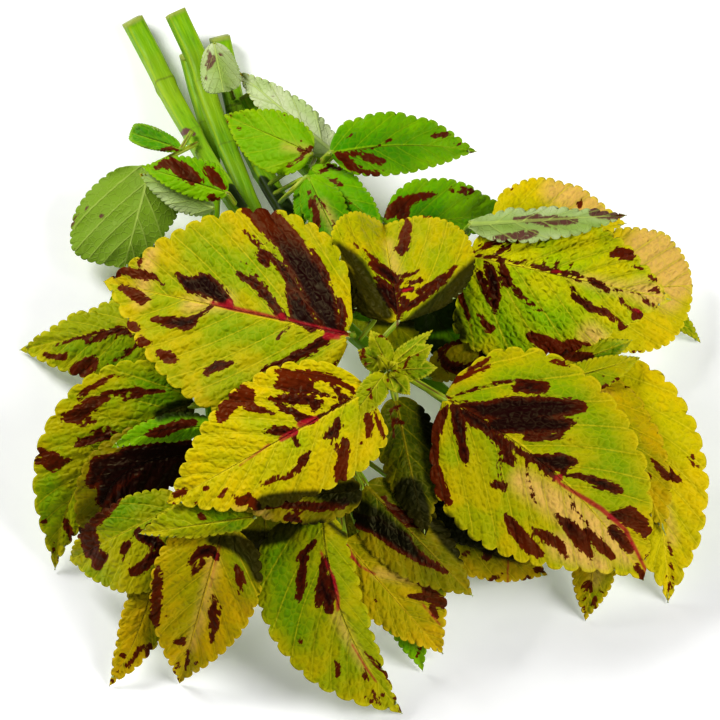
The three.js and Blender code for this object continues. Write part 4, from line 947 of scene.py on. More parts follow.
def scallop(points, blade, margin, spacing):
    """Moves the outer columns of a grid in and out."""
    turn = (margin / spacing) % 1
    arch = np.sqrt(np.clip(1 - (2 * turn - 1) ** 2, 0, 1))
    whole = margin[-1]
    grow = np.clip((margin - TEETH_START * whole) / (TEETH_GROW * whole), 0, 1)
    shrink = np.clip((whole - margin) / (TEETH_END * whole), LEAST_TOOTH, 1)
    depth = TOOTH_DEPTH * blade.length * (arch - TOOTH_LEVEL) * grow * shrink
    for column, sign in ((0, -1), (-1, 1)):
        edge = points[:, column, :2]
        tangent = np.gradient(edge, axis=0)
        tangent /= np.maximum(np.linalg.norm(tangent, axis=1), 1e-9)[:, None]
        outward = np.stack([-tangent[:, 1], tangent[:, 0]], axis=1) * sign
        for inset, share in enumerate(TOOTH_COLUMNS):
            index = inset if column == 0 else -1 - inset
            points[:, index, :2] += outward * (depth * share)[:, None]


def blade_grid(blade):
    """The grid of a blade's points before it is laid on the pile, and what each one is."""
    t, margin, spacing = blade.rows()
    q = blade.columns()
    signed = np.concatenate([-q[:0:-1], q])
    shape = (len(t), len(signed))
    tt = np.repeat(t[:, None], len(q), axis=1)
    qq = np.repeat(q[None, :], len(t), axis=0)
    right = blade.side(tt, qq, 1)
    points = np.concatenate([right[:, :0:-1], blade.side(tt, qq, 0)], axis=1)
    scallop(points, blade, margin, spacing)
    return {
        "points": points,
        "t": np.broadcast_to(t[:, None], shape),
        "q": np.broadcast_to(np.abs(signed), shape),
        "across": signed * blade.half_width(t[:, None], signed < 0),
        "margin": np.broadcast_to(margin[:, None], shape),
    }


print("its grid, rows and columns:", blade_grid(sample)["t"].shape)

# %% [markdown]
# ## Laying a blade on its solid
#
# The leaves of a cut bunch lie on each other like roof tiles. The solid model knows how: each
# leaf there was lifted to clear the one below. Cloth could be dropped to find it again, but it
# would crumple, and come out otherwise each time. A ray is dropped onto the solid from every
# grid point instead, and the height that it finds replaces the layout's own. Points past the
# solid's coarser edge take the height of their neighbour, and the whole field is then
# smoothed, so that the facets of the solid don't show.

# %% Rays onto the solids
RAY_START = 220.0  # height w from which a ray is dropped, in millimetres

trees = {}


def tree_of(node):
    """The solid node as a tree that rays can be cast at."""
    if node not in trees:
        mesh = frame["nodes"][node].data
        corners = [v.co.copy() for v in mesh.vertices]
        faces = [tuple(p.vertices) for p in mesh.polygons]
        trees[node] = BVHTree.FromPolygons(corners, faces)
    return trees[node]


def height_over(node, u, v, start=RAY_START, towards=-1):
    """The w where a ray along w meets the node, or nan."""
    origin = Vector(world((u, v, start)))
    hit = tree_of(node).ray_cast(origin, OUTWARD * towards)
    if hit[0] is None:
        return math.nan
    return start + towards * hit[3] / MM


peak = height_over("leaf_great_left", *(sample.start + sample.ahead * sample.length / 2))
print("the middle of the largest leaf stands", round(peak, 1), "mm out of the plane")

# %% Laying a blade on its solid
STALK_CLEAR = (0.12, 2.2)  # near the start of the midrib the ray would meet the stalk's socket
SMOOTHINGS = 10


def fill_holes(field):
    """Points without a height take the nearest one in their row, then in their column."""
    rows, columns = field.shape
    middle = columns // 2
    right_out = [(j, j - 1) for j in range(middle + 1, columns)]
    left_out = [(j, j + 1) for j in range(middle - 1, -1, -1)]
    left_in = [(j, j - 1) for j in range(middle, 0, -1)]
    right_in = [(j, j + 1) for j in range(middle, columns - 1)]
    for j, source in right_out + left_out + left_in + right_in:
        empty = np.isnan(field[:, j])
        field[empty, j] = field[empty, source]
    to_tip = [(i, i - 1) for i in range(1, rows)]
    to_base = [(i, i + 1) for i in range(rows - 2, -1, -1)]
    for i, source in to_tip + to_base:
        empty = np.isnan(field[i])
        field[i, empty] = field[source, empty]
    return field


def smoothed(field, times):
    """The field with every point drawn towards its neighbours, a number of times."""
    for _ in range(times):
        for axis in (0, 1):
            lines = np.moveaxis(field, axis, 0)
            padded = np.concatenate([lines[:1], lines, lines[-1:]])
            lines = 0.5 * lines + 0.25 * (padded[:-2] + padded[2:])
            field = np.moveaxis(lines, 0, axis)
    return field


def lift_onto(node, grid, within=None):
    """Lifts a grid's points onto the solid node; within is how near it is looked for."""
    points = grid["points"]
    lift = np.full(points.shape[:2], math.nan)
    near_start = (grid["t"] < STALK_CLEAR[0]) & (np.abs(grid["across"]) < STALK_CLEAR[1])
    for i, j in np.argwhere(~near_start):
        u, v, w = points[i, j]
        if within is None:
            lift[i, j] = height_over(node, u, v) - w
            continue
        found = height_over(node, u, v, start=w + within[1]) - w
        if found > within[0]:
            lift[i, j] = found
    if np.isnan(lift).all():
        lift[:] = 0.0
    points[..., 2] += smoothed(fill_holes(lift), SMOOTHINGS)
    return grid


# %% [markdown]
# ## Veins and relief
#
# Side veins leave the midrib at a steep angle and run forward. Between them the blade swells
# into soft pads, and the midrib lies in a groove. On the underside it is the other way round:
# the veins stand out. Towards the margin the whole blade waves a little. Sculpting could do
# this, but here it is a formula of where a point lies among the veins, so that the colour can
# follow the same veins later.

# %% Where the veins run
VEIN_ANGLE = math.radians(40)
VEIN_BEND = 0.25
VEIN_SPACING = 10.5  # millimetres of midrib between side veins
VEIN_COUNT = (4, 9)  # the fewest and the most side veins on a half
VEIN_SHIFT = 0.35  # the right half's veins start this much later than the left half's
GRAIN_STRETCH = 1.3  # the small cells are this much longer along the veins than across
HALVES_APART = 90  # keeps the pattern of one half from being the other's mirror image


def vein_phase(blade, grid):
    """For each point: which side vein it is at. Whole numbers are veins."""
    y = np.abs(grid["across"])
    x = grid["t"] * blade.length
    root = x - y / math.tan(VEIN_ANGLE) * (1 - VEIN_BEND * y / max(blade.wide))
    count = float(np.clip(round(blade.length / VEIN_SPACING), *VEIN_COUNT))
    return count * root / blade.length + np.where(grid["across"] < 0, VEIN_SHIFT, 0.0)


def vein_grain(blade, grid):
    """For each point: how far it is along the side veins' direction, and square to it."""
    at = grid["points"][..., :2] - blade.start
    x = at @ blade.ahead
    y = at @ blade.left
    side = np.where(grid["across"] < 0, -1.0, 1.0)
    along = x * math.cos(VEIN_ANGLE) + side * y * math.sin(VEIN_ANGLE)
    square = side * y * math.cos(VEIN_ANGLE) - x * math.sin(VEIN_ANGLE)
    return along, GRAIN_STRETCH * square + HALVES_APART * side


veins = vein_phase(sample, blade_grid(sample))
print("side veins on the largest leaf, on one half:", int(veins.max()))

# %% The relief
FULL_RELIEF = 70  # leaves of this length or more have the whole relief
SWELL = 1.1  # how far the pads between the veins stand out
PAD_LEVEL = 0.6  # this much of a pad lies below the smooth blade
PAD_ROUND = 0.7
PAD_START = 4  # the pads rise over this many millimetres from the midrib,
PAD_END = 0.15  # fall over this share of the half width before the margin,
LEAST_PAD = 0.25  # and keep this share of their height there
RIB_GROOVE = 0.55
RIB_WIDTH = 1.5
RIB_FADE = 0.7  # the groove loses this much of its depth on the way to the tip
TURNED_RELIEF = -1.3  # on the underside everything is reversed, and stronger
WAVE = 0.54
WAVE_LENGTH = 19.0
WAVE_START = 1.7  # each leaf's wave starts this much later than the one before
SECOND_WAVE = 0.61  # a second wave, this much shorter and half as high


def relief(blade, grid, turned, seed):
    """How far each point moves along the blade's normal, in millimetres."""
    size = min(1.0, blade.length / FULL_RELIEF)
    pads = np.abs(np.sin(np.pi * vein_phase(blade, grid))) ** PAD_ROUND - PAD_LEVEL
    inside = np.clip(np.abs(grid["across"]) / PAD_START, 0, 1)
    inside = inside * np.clip((1 - grid["q"]) / PAD_END, LEAST_PAD, 1)
    field = SWELL * size * pads * inside
    rib = np.exp(-((grid["across"] / RIB_WIDTH) ** 2)) * (1 - RIB_FADE * grid["t"])
    field -= RIB_GROOVE * size * rib
    if turned:
        field = TURNED_RELIEF * field
    start = seed * WAVE_START
    wave = np.sin(2 * np.pi * grid["margin"] / WAVE_LENGTH + start)
    wave = wave + 0.5 * np.sin(2 * np.pi * grid["margin"] / (SECOND_WAVE * WAVE_LENGTH) + 2 * start)
    return field + WAVE * size * wave * grid["q"] ** 3


def normals_of(points):
    """The direction square to a grid of points, at each of them."""
    normal = np.cross(np.gradient(points, axis=0), np.gradient(points, axis=1))
    size = np.linalg.norm(normal, axis=-1, keepdims=True)
    return np.where(size > 1e-12, normal / np.maximum(size, 1e-12), np.array(OUTWARD))


height = relief(sample, blade_grid(sample), False, 0)
print("its relief, from", round(height.min(), 1), "to", round(height.max(), 1), "mm")

# %% [markdown]
# ## Putting a leaf together
#
# A leaf is one mesh: the upper face, the lower face, the rim that joins them, and the stalk.
# A solidify modifier could make the lower face, but then the two faces couldn't have colours
# of their own that meet at the rim. With each point go the values that the colours need: where
# it is among the veins, how far it is from the margin, and how far from each kind of streak.

# %% The values that go with the points
VALUES = ("veins", "grain", "marks", "tone")
GREEN_SOFT = 5.0  # how softly green and peach end, in millimetres
PEACH_SOFT = 3.0
THIN_RIB = 0.25  # half width of the midrib at the tip, and how much wider it is at the base
WIDER_RIB = 0.75
RIB_FULL_GROWN = 90
LEAVES_APART = 13.7  # keeps the fine patterns of two leaves from being the same


def soft_share(distance, softness):
    """1 well inside a streak, 0 well outside it, and a half at its edge."""
    return np.clip(0.5 - distance / (2 * softness), 0, 1)


def values_of(name, blade, grid, seed):
    """The values that go with each point of a blade, three numbers each."""
    u, v = grid["points"][..., 0], grid["points"][..., 1]
    along, square = vein_grain(blade, grid)
    grown = min(1.0, blade.length / RIB_FULL_GROWN)
    half_rib = THIN_RIB + WIDER_RIB * (1 - grid["t"]) * grown
    edge = (1 - grid["q"]) * blade.half_width(grid["t"], grid["across"] < 0)
    away = {kind: distance_to_marks(name, kind, u, v) for kind in KINDS}
    green = soft_share(away["green"], GREEN_SOFT)
    peach = soft_share(away["peach"], PEACH_SOFT)
    rib = grid["across"] / half_rib
    return {
        "veins": np.stack([vein_phase(blade, grid), rib, 0 * rib], axis=-1),
        "grain": np.stack([along, square, np.full(u.shape, seed * LEAVES_APART)], axis=-1),
        "marks": np.stack([away["maroon"], away["pink"], edge], axis=-1),
        "tone": np.stack([green, peach, away["shade"]], axis=-1),
    }


print("values with each point:", ", ".join(VALUES))

# %% From points to a mesh
UPPER, LOWER, STALK = 0, 1, 2  # the three looks of a leaf
THICKNESS = 0.6
THIN_EDGE = (0.1, 0.3)  # over this share of the width or the length, a blade thins out
THIN_TIP = (0.05, 0.1)  # to this share of its thickness


class Piece:
    """Points, faces and values of one piece, gathered before they become a mesh."""

    def __init__(self):
        self.points = []
        self.faces = []
        self.looks = []
        self.values = {name: [] for name in VALUES}

    def add(self, points, faces, look, values):
        """Adds points with their faces; look is one number, or a list with one for each face."""
        base = sum(len(p) for p in self.points)
        self.points.append(np.asarray(points, float).reshape(-1, 3))
        self.faces += [tuple(base + k for k in face) for face in faces]
        self.looks += look if isinstance(look, list) else [look] * len(faces)
        for name in VALUES:
            self.values[name].append(np.asarray(values[name], float).reshape(-1, 3))

    def mesh(self, name, materials):
        """Makes the Blender object; the points are already in metres."""
        mesh = bpy.data.meshes.new(name)
        mesh.from_pydata(np.concatenate(self.points).tolist(), [], self.faces)
        for key in VALUES:
            layer = mesh.attributes.new(key, "FLOAT_VECTOR", "POINT")
            layer.data.foreach_set("vector", np.concatenate(self.values[key]).ravel())
        for material in materials:
            mesh.materials.append(material)
        mesh.polygons.foreach_set("material_index", self.looks)
        mesh.polygons.foreach_set("use_smooth", [True] * len(self.faces))
        mesh.update()
        piece = bpy.data.objects.new(name, mesh)
        bpy.context.scene.collection.objects.link(piece)
        return piece


def add_blade(piece, name, blade, grid, turned, seed):
    """Adds a blade's two faces and its rim to a piece, and returns its upper surface."""
    flat = world(grid["points"])
    upper = flat + normals_of(flat) * (relief(blade, grid, turned, seed) * MM)[..., None]
    thick = np.clip((1 - grid["q"]) / THIN_EDGE[0], THIN_EDGE[1], 1)
    thick = thick * np.clip((1 - grid["t"]) / THIN_TIP[0], THIN_TIP[1], 1)
    lower = upper - normals_of(upper) * (THICKNESS * thick * MM)[..., None]
    count = upper.shape[0] * upper.shape[1]
    index = np.arange(count).reshape(upper.shape[:2])
    quads = np.stack([index[:-1, :-1], index[1:, :-1], index[1:, 1:], index[:-1, 1:]], axis=-1)
    upper_faces = [tuple(q) for q in quads.reshape(-1, 4).tolist()]
    lower_faces = [(a + count, d + count, c + count, b + count) for a, b, c, d in upper_faces]
    rim = [*index[:-1, 0], *index[-1, :-1], *index[:0:-1, -1], *index[0, :0:-1]]
    rim = [int(k) for k in rim]
    rim_faces = [(b, a, a + count, b + count) for a, b in zip(rim, rim[1:] + rim[:1])]
    values = values_of(name, blade, grid, seed)
    both = {key: np.concatenate([v.reshape(-1, 3)] * 2) for key, v in values.items()}
    looks = [UPPER] * len(upper_faces) + [LOWER] * len(lower_faces) + [UPPER] * len(rim_faces)
    points = np.concatenate([upper.reshape(-1, 3), lower.reshape(-1, 3)])
    piece.add(points, upper_faces + lower_faces + rim_faces, looks, both)
    return upper


# %% [markdown]
# ## Stalks and stems
#
# Both could be curve objects with a bevel, but their points couldn't then carry the values
# that the colours need. So both are swept: a ring of points is set square to a line at each
# of its points. A stalk is round with a groove along its upper side. A stem is square with
# rounded corners, as in all plants of the mint family.

# %% Profiles
UP = np.array([0.0, 0.0, 1.0])
STALK_SIDES = 14
GROOVE_DEPTH = 0.3
GROOVE_WIDTH = 24  # degrees
STEM_POINTS = 28
STEM_SQUARENESS = 4.5  # 2 is round
STEM_HOLLOW = 0.07  # how far the four faces are hollowed


def profile_angles(count):
    """The angles of a profile's points."""
    return 2 * np.pi * (np.arange(count) + 0.5) / count


def profile(angles, reach):
    """The points (x, y) of a profile from its reach at each angle."""
    return np.stack([np.cos(angles), np.sin(angles)], axis=1) * reach[:, None]


angles = profile_angles(STALK_SIDES)
groove = GROOVE_DEPTH * np.exp(-(((np.degrees(angles) - 90) / GROOVE_WIDTH) ** 2))
STALK_PROFILE = profile(angles, 1 - groove)
angles = profile_angles(STEM_POINTS)
squared = np.abs(np.cos(angles)) ** STEM_SQUARENESS + np.abs(np.sin(angles)) ** STEM_SQUARENESS
hollow = 1 - STEM_HOLLOW * np.cos(2 * angles) ** 8
STEM_PROFILE = profile(angles, squared ** (-1 / STEM_SQUARENESS) * hollow)
print("points round a stalk and round a stem:", len(STALK_PROFILE), len(STEM_PROFILE))

# %% Sweeping along a line


def sweep(line, radii, shape):
    """Rings of points round a line (in metres), with one profile scaled by each radius."""
    along = np.gradient(line, axis=0)
    along /= np.maximum(np.linalg.norm(along, axis=1), 1e-9)[:, None]
    side = np.cross(along, UP)
    side /= np.maximum(np.linalg.norm(side, axis=1), 1e-9)[:, None]
    over = np.cross(side, along)
    x, y = shape[None, :, :1], shape[None, :, 1:]
    return line[:, None] + radii[:, None, None] * (side[:, None] * x + over[:, None] * y)


def ring_faces(rings, sides):
    """The faces between rings, and the two that close the ends."""
    faces = []
    for k in range(rings - 1):
        for s in range(sides):
            a = k * sides + s
            b = k * sides + (s + 1) % sides
            faces.append((a, a + sides, b + sides, b))
    faces.append(tuple(range(sides)))
    faces.append(tuple(reversed(range((rings - 1) * sides, rings * sides))))
    return faces


def length_along(line):
    """How far along a line (in metres) each of its points is, in millimetres."""
    steps = np.linalg.norm(np.diff(line, axis=0), axis=1) / MM
    return np.concatenate([[0], np.cumsum(steps)])


def tube_values(name, line, radii, shape, seed, from_joint=None):
    """The values of a swept piece: along its length, around it, and its streaks."""
    size = (len(line), len(shape))
    along = np.broadcast_to(length_along(line)[:, None], size)
    around = np.broadcast_to(np.arctan2(shape[:, 1], shape[:, 0]), size)
    top = np.broadcast_to(shape[:, 1], size)
    none = np.zeros(size)
    joint = none if from_joint is None else np.broadcast_to(from_joint[:, None], size)
    flat = plane_of(sweep(line, radii, shape))
    maroon = distance_to_marks(name, "maroon", flat[..., 0], flat[..., 1])
    shade = distance_to_marks(name, "shade", flat[..., 0], flat[..., 1])
    over = np.cos(around) * (radii / MM)[:, None]
    return {
        "veins": np.stack([along, around, none], axis=-1),
        "grain": np.stack([over, along, none + seed], axis=-1),
        "marks": np.stack([maroon, shade, none], axis=-1),
        "tone": np.stack([top, joint, none], axis=-1),
    }


def eased(line, times):
    """A line whose inner points are drawn towards their neighbours, a number of times."""
    for _ in range(times):
        line[1:-1] = 0.5 * line[1:-1] + 0.25 * (line[:-2] + line[2:])
    return line


# %% [markdown]
# ## A leaf's stalk
#
# The stalk runs from the blade back to the stem that bore the leaf. Its lower end is found on
# the solid model: the solid stalk's rings of points lie behind the blade, and the farthest of
# them is at the stem.

# %% A leaf's stalk
STALK_STEP = 2.5  # millimetres between points of the line
FULL_GROWN = 55
THICK_STALK = 1.5  # radii of the stalks of full-grown and of smaller leaves
THIN_STALK = 1.0
RING_SPAN = 2.15  # the solid stalk's rings are known by points this close together, in radii
RING_COUNT = 4
BEHIND = 1.5  # the rings of a stalk lie behind its blade, but for this many millimetres
UNDER_BLADE = (0.06, 0.14)  # the stalk runs on under the midrib to these shares of it,
UNDER_RADII = (0.3, 0.7)  # thins out there to these shares of its radius,
UNDER_DROP = 0.75  # and lies this many radii below the blade
FINER = 3  # rings to each point of the line, so that bends are smooth
STALK_HALF = 1.5  # the solid is taken as at most this many radii thick on either side


def stalk_radius(blade):
    """A full-grown leaf has the thicker stalk."""
    return THICK_STALK if blade.length >= FULL_GROWN else THIN_STALK


def stalk_foot(node, blade):
    """Where the solid's stalk starts: the middle of its farthest ring, as (u, v), or None."""
    if blade.foot:
        return np.array(blade.foot)
    corners = plane_of(np.array([v.co for v in frame["nodes"][node].data.vertices]))
    corners = np.unique(corners.round(2), axis=0)
    between = np.linalg.norm(corners[:, None] - corners[None, :], axis=2)
    close = between < RING_SPAN * stalk_radius(blade)
    from_start = corners[:, :2] - blade.start
    in_ring = (close.sum(axis=1) > RING_COUNT) & (from_start @ blade.ahead < BEHIND)
    if not in_ring.any():
        return None
    away = np.where(in_ring, np.linalg.norm(from_start, axis=1), 0)
    return corners[close[int(np.argmax(away))], :2].mean(axis=0)


def stalk_line(node, blade):
    """The middle line of a leaf's stalk, from the blade back to its stem, as points (u, v, w)."""
    foot = stalk_foot(node, blade)
    if foot is None:
        return None
    count = max(4, round(np.linalg.norm(foot - blade.start) / STALK_STEP))
    line = []
    for k in range(count + 1):
        u, v = blade.start + (foot - blade.start) * k / count
        low = height_over(node, u, v, start=-RAY_START, towards=1)
        high = height_over(node, u, v)
        if not math.isnan(low) and not math.isnan(high):
            half = min((high - low) / 2, STALK_HALF * stalk_radius(blade))
            line.append((u, v, low + half))
    if len(line) < 3:
        return None
    line = np.array(line)
    eased(line[:, 2], 2)
    return line


def add_stalk(piece, name, blade, upper, seed):
    """Adds a leaf's stalk to its piece, and returns whether it has one."""
    line = stalk_line(name, blade)
    if line is None:
        return False
    radius = stalk_radius(blade)
    rows = np.searchsorted(np.linspace(0, 1, upper.shape[0]), UNDER_BLADE)
    under = plane_of(upper[rows, upper.shape[1] // 2]) - np.array([0, 0, UNDER_DROP * radius])
    line = np.concatenate([under[::-1], line])
    radii = np.full(len(line), radius)
    radii[:2] = np.array(UNDER_RADII) * radius
    at = np.arange(len(line))
    fine = np.linspace(0, len(line) - 1, FINER * len(line))
    smooth = np.stack([np.interp(fine, at, line[:, k]) for k in range(3)], axis=1)
    path = world(eased(smooth, 3))
    radii = np.interp(fine, at, radii) * MM
    values = tube_values(name, path, radii, STALK_PROFILE, seed)
    piece.add(sweep(path, radii, STALK_PROFILE), ring_faces(len(path), STALK_SIDES), STALK, values)
    return True


print("the largest leaf's stalk starts at", stalk_foot("leaf_great_left", sample))

# %% [markdown]
# ## Materials
#
# Every colour below comes from node networks that read the values on the points, so that it
# sits on the leaf from every side and needs no image. Colours are written as they look on a
# screen, from 0 to 255, and one function turns them into the linear values that shaders use.

# %% Helpers for materials


def colour(red, green, blue):
    """A screen colour as a linear one."""
    parts = [c / 255 for c in (red, green, blue)]
    linear = [c / 12.92 if c <= 0.04045 else ((c + 0.055) / 1.055) ** 2.4 for c in parts]
    return (*linear, 1.0)


class Network:
    """A material's nodes, made and linked with few words."""

    def __init__(self, name):
        self.material = bpy.data.materials.new(name)
        self.material.use_nodes = True
        self.tree = self.material.node_tree
        self.tree.nodes.clear()
        self.shader = self.tree.nodes.new("ShaderNodeBsdfPrincipled")
        output = self.tree.nodes.new("ShaderNodeOutputMaterial")
        self.tree.links.new(self.shader.outputs[0], output.inputs[0])

    def node(self, kind, *values):
        """A new node, with values or links for its first sockets."""
        node = self.tree.nodes.new(kind)
        for socket, value in zip(node.inputs, values):
            self.put(socket, value)
        return node

    def put(self, socket, value):
        """Links a socket to another, or sets its value; None leaves it as it is."""
        if isinstance(value, bpy.types.NodeSocket):
            self.tree.links.new(value, socket)
        elif value is not None:
            socket.default_value = value

    def attribute(self, name):
        """The three numbers that go with each point under a name."""
        source = self.node("ShaderNodeAttribute")
        source.attribute_name = name
        return self.node("ShaderNodeSeparateXYZ", source.outputs["Vector"]).outputs

    def math(self, operation, a, b=None, c=None, clamp=False):
        """A sum of one, two or three values."""
        node = self.node("ShaderNodeMath", a, b, c)
        node.operation = operation
        node.use_clamp = clamp
        return node.outputs[0]

    def times(self, a, b):
        """Two values multiplied."""
        return self.math("MULTIPLY", a, b)

    def vector(self, x, y, z):
        """Three values as one place."""
        return self.node("ShaderNodeCombineXYZ", x, y, z).outputs[0]

    def step(self, value, low, high, start=0.0, end=1.0):
        """A smooth step from start, where value is low, to end, where it is high."""
        node = self.node("ShaderNodeMapRange", value, low, high, start, end)
        node.interpolation_type = "SMOOTHSTEP"
        return node.outputs[0]

    def mix(self, share, a, b):
        """Colour a, with this share of colour b."""
        node = self.tree.nodes.new("ShaderNodeMix")
        node.data_type = "RGBA"
        for index, value in ((0, share), (6, a), (7, b)):
            self.put(node.inputs[index], value)
        return node.outputs[2]

    def noise(self, where, scale, detail=2.0):
        """Soft noise round a half."""
        node = self.tree.nodes.new("ShaderNodeTexNoise")
        for name, value in (("Vector", where), ("Scale", scale), ("Detail", detail)):
            self.put(node.inputs[name], value)
        return node.outputs[0]

    def cells(self, where, size, feature="F1"):
        """Cells of some size: their distances, and a random number for each."""
        node = self.tree.nodes.new("ShaderNodeTexVoronoi")
        node.feature = feature
        self.put(node.inputs["Vector"], where)
        self.put(node.inputs["Scale"], 1 / size)
        return node.outputs

    def bump(self, height, distance, strength=1.0, below=None):
        """The shading of a relief, on top of another one."""
        node = self.tree.nodes.new("ShaderNodeBump")
        values = (("Strength", strength), ("Distance", distance), ("Height", height), ("Normal", below))
        for name, value in values:
            self.put(node.inputs[name], value)
        return node.outputs[0]

    def finish(self, base, roughness, normal, **fixed):
        """Sets the shader's sockets."""
        values = {"Base Color": base, "Roughness": roughness, "Normal": normal, **fixed}
        for name, value in values.items():
            self.put(self.shader.inputs[name.replace("_", " ")], value)
        return self.material


print("one function turns screen grey 128 into", round(colour(128, 128, 128)[0], 3))

# %% [markdown]
# ## The veins in the colour
#
# Veins are paler than the blade. The side veins lie where the phase is a whole number, the
# midrib where the distance across is small, and the finest ones are the walls between small
# cells. Both faces of a leaf read them from the same values, so they match through the blade.

# %% The veins in the colour
CELL = 3.1  # size of the small cells between the finest veins, in millimetres
FINE_VEIN = 0.14  # how much paler the finest veins are


class Veins:
    """How near each point of a face is to each kind of vein."""

    def __init__(self, net, side, rib, fine):
        phase, across, _ = net.attribute("veins")
        self.net = net
        self.along, self.outward, self.seed = net.attribute("grain")
        self.where = net.vector(self.along, self.outward, self.seed)
        from_middle = net.math("ABSOLUTE", net.math("SUBTRACT", net.math("FRACT", phase), 0.5))
        self.beside = net.times(from_middle, 2.0)  # 1 at a side vein, 0 halfway between two
        self.side = net.step(self.beside, *side)
        self.midrib = net.step(net.math("ABSOLUTE", across), *rib, 1.0, 0.0)
        self.walls = net.cells(self.where, CELL, "DISTANCE_TO_EDGE")["Distance"]
        self.fine = net.step(self.walls, *fine, 1.0, 0.0)

    def drawn_out(self, share):
        """The place of a point, with patterns drawn out along the veins."""
        return self.net.vector(self.net.times(self.along, share), self.outward, self.seed)

    def pale(self, side, midrib):
        """How much of the veins' paler colour there is."""
        net = self.net
        share = net.math("MULTIPLY_ADD", self.side, side, net.times(self.fine, FINE_VEIN))
        return net.math("ADD", share, net.times(self.midrib, midrib), clamp=True)


print("cells to a square centimetre, about", round(100 / CELL**2))

# %% [markdown]
# ## The leaf's upper face
#
# The blade is gold to lime, and wanders between two tones. Maroon follows its streaks, but its
# edge steps from cell to cell, as the pigment fills whole cells or leaves them out, and turns
# rusty near the margin, where the light comes through. Pink runs along the midrib. A thin
# bright line follows the margin. Fine veins divide the blade into small cells that stand out
# like cushions. A single noise would give blotches that ignore the veins, so the noise is only
# used to make the streaks' edges ragged.

# %% The ground colour
PEACH = colour(236, 188, 104)
OLIVE = colour(128, 140, 0)
# Painted shade: the blade is darker in the furrows along the side veins.
FURROW_SHADE = colour(96, 120, 0)  # in the furrows along the side veins


def upper_ground(veins, edge, tones, quilt):
    """The blade's own colour, with its veins and its bright margin."""
    net = veins.net
    light, deep, dull, bright = tones
    green, peach, _ = net.attribute("tone")
    broad = net.noise(veins.where, 0.055, 3.0)
    fine = net.noise(veins.where, 0.5, 3.0)
    inward = net.step(net.math("MULTIPLY_ADD", fine, 8.0, edge), 6.0, 20.0)
    deeper = net.math("MULTIPLY_ADD", inward, 0.3, net.step(broad, 0.38, 0.62, 0.0, 0.7))
    ground = net.mix(deeper, light, deep)
    # Green is the leaf's own green, and in places painted shade where a leaf lies in shadow.
    ground = net.mix(net.times(green, 0.85), ground, dull)
    ground = net.mix(net.times(peach, 0.85), ground, PEACH)
    ground = net.mix(net.step(fine, 0.4, 0.75, 0.0, 0.22), ground, OLIVE)
    # Painted shade in the furrows beside the side veins, deeper on more quilted leaves.
    furrow_shade = net.times(net.step(veins.beside, 0.6, 0.93), 0.55 * quilt)
    ground = net.mix(furrow_shade, ground, FURROW_SHADE)
    ground = net.mix(veins.pale(0.45, 0.55), ground, bright)
    return net.mix(net.step(edge, 0.25, 0.9, 0.5, 0.0), ground, bright), fine


# %% Maroon, pink and shade
PATCH = 1.3  # size of the cells that maroon fills or leaves out, in millimetres
SPECK = 1.5
RAGGED = 0.8
BLOTCH_EDGE = 0.22
MAROON = colour(36, 3, 7)
EMBER = colour(112, 36, 4)  # maroon just inside its edge
MAROON_VEIN = colour(26, 2, 5)
PINK = colour(170, 24, 44)
SHADED = colour(12, 12, 2)


def specks_of(veins, maroon):
    """Small dots of maroon, scattered near its streaks."""
    net = veins.net
    dots = net.cells(veins.where, SPECK)
    chosen = net.step(dots["Color"], 0.86, 0.88)
    near = net.step(maroon, 0.8, 3.0, 1.0, 0.0)
    small = net.step(dots["Distance"], 0.2, 0.42, 1.0, 0.0)
    return net.times(net.times(chosen, near), small)


def marked(veins, ground, rust):
    """The ground with maroon, pink and shade on it, and where the maroon is."""
    net = veins.net
    maroon, pink, edge = net.attribute("marks")
    shade = net.attribute("tone")[2]
    place = veins.drawn_out(0.6)
    jump = net.times(net.math("SUBTRACT", net.cells(place, PATCH)["Color"], 0.5), 1.4)
    ragged = net.times(net.math("SUBTRACT", net.noise(place, 0.9, 2.0), 0.5), RAGGED)
    depth = net.math("ADD", maroon, net.math("ADD", jump, ragged))
    blotch = net.step(depth, -BLOTCH_EDGE, BLOTCH_EDGE, 1.0, 0.0)
    mask = net.math("MAXIMUM", blotch, net.times(specks_of(veins, maroon), 0.7))
    outer = net.step(net.math("ADD", edge, net.times(ragged, 4.0)), 5.0, 17.0, 1.0, 0.0)
    dark = net.mix(outer, MAROON, rust)
    dark = net.mix(net.step(depth, -2.4, -0.3, 0.0, 0.5), dark, EMBER)
    dark = net.mix(net.times(veins.side, 0.4), dark, MAROON_VEIN)
    surface = net.mix(mask, ground, dark)
    flush = net.step(net.math("ADD", pink, net.times(ragged, 0.3)), -0.5, 0.5, 0.9, 0.0)
    surface = net.mix(flush, surface, PINK)
    in_shade = net.step(net.math("ADD", shade, ragged), -1.3, 1.3, 0.93, 0.0)
    return net.mix(in_shade, surface, SHADED), mask


# %% The upper face as a whole
PLEAT = 4.0  # how high pleats stand on a leaf with quilting 1, in millimetres
HAIR = 0.05
SHEEN = {"Specular_IOR_Level": 0.13, "Specular_Tint": (1.0, 0.95, 0.4, 1.0)}


def upper_face(name, *tones, rust, gloss, quilt=0.4):
    """Tones are the ground, its second tone, its green, and its veins and margin."""
    net = Network(name)
    veins = Veins(net, (0.9, 0.985), (0.7, 1.3), (0.015, 0.11))
    edge = net.attribute("marks")[2]
    ground, fine = upper_ground(veins, edge, [colour(*tone) for tone in tones], quilt)
    surface, mask = marked(veins, ground, colour(*rust))
    # Pleats along the veins, cushions between the finest ones, and very fine hairs.
    normal = net.bump(net.noise(veins.drawn_out(0.3), 0.3, 1.0), PLEAT * quilt * MM, 0.8)
    normal = net.bump(net.step(veins.walls, 0.0, 0.45), quilt * MM, 1.0, below=normal)
    normal = net.bump(net.noise(veins.where, 3.2, 2.0), HAIR * MM, 0.5, below=normal)
    rough = net.math("MULTIPLY_ADD", mask, -0.05, net.step(fine, 0.3, 0.7, gloss, gloss + 0.1))
    return net.finish(surface, rough, normal, **SHEEN)


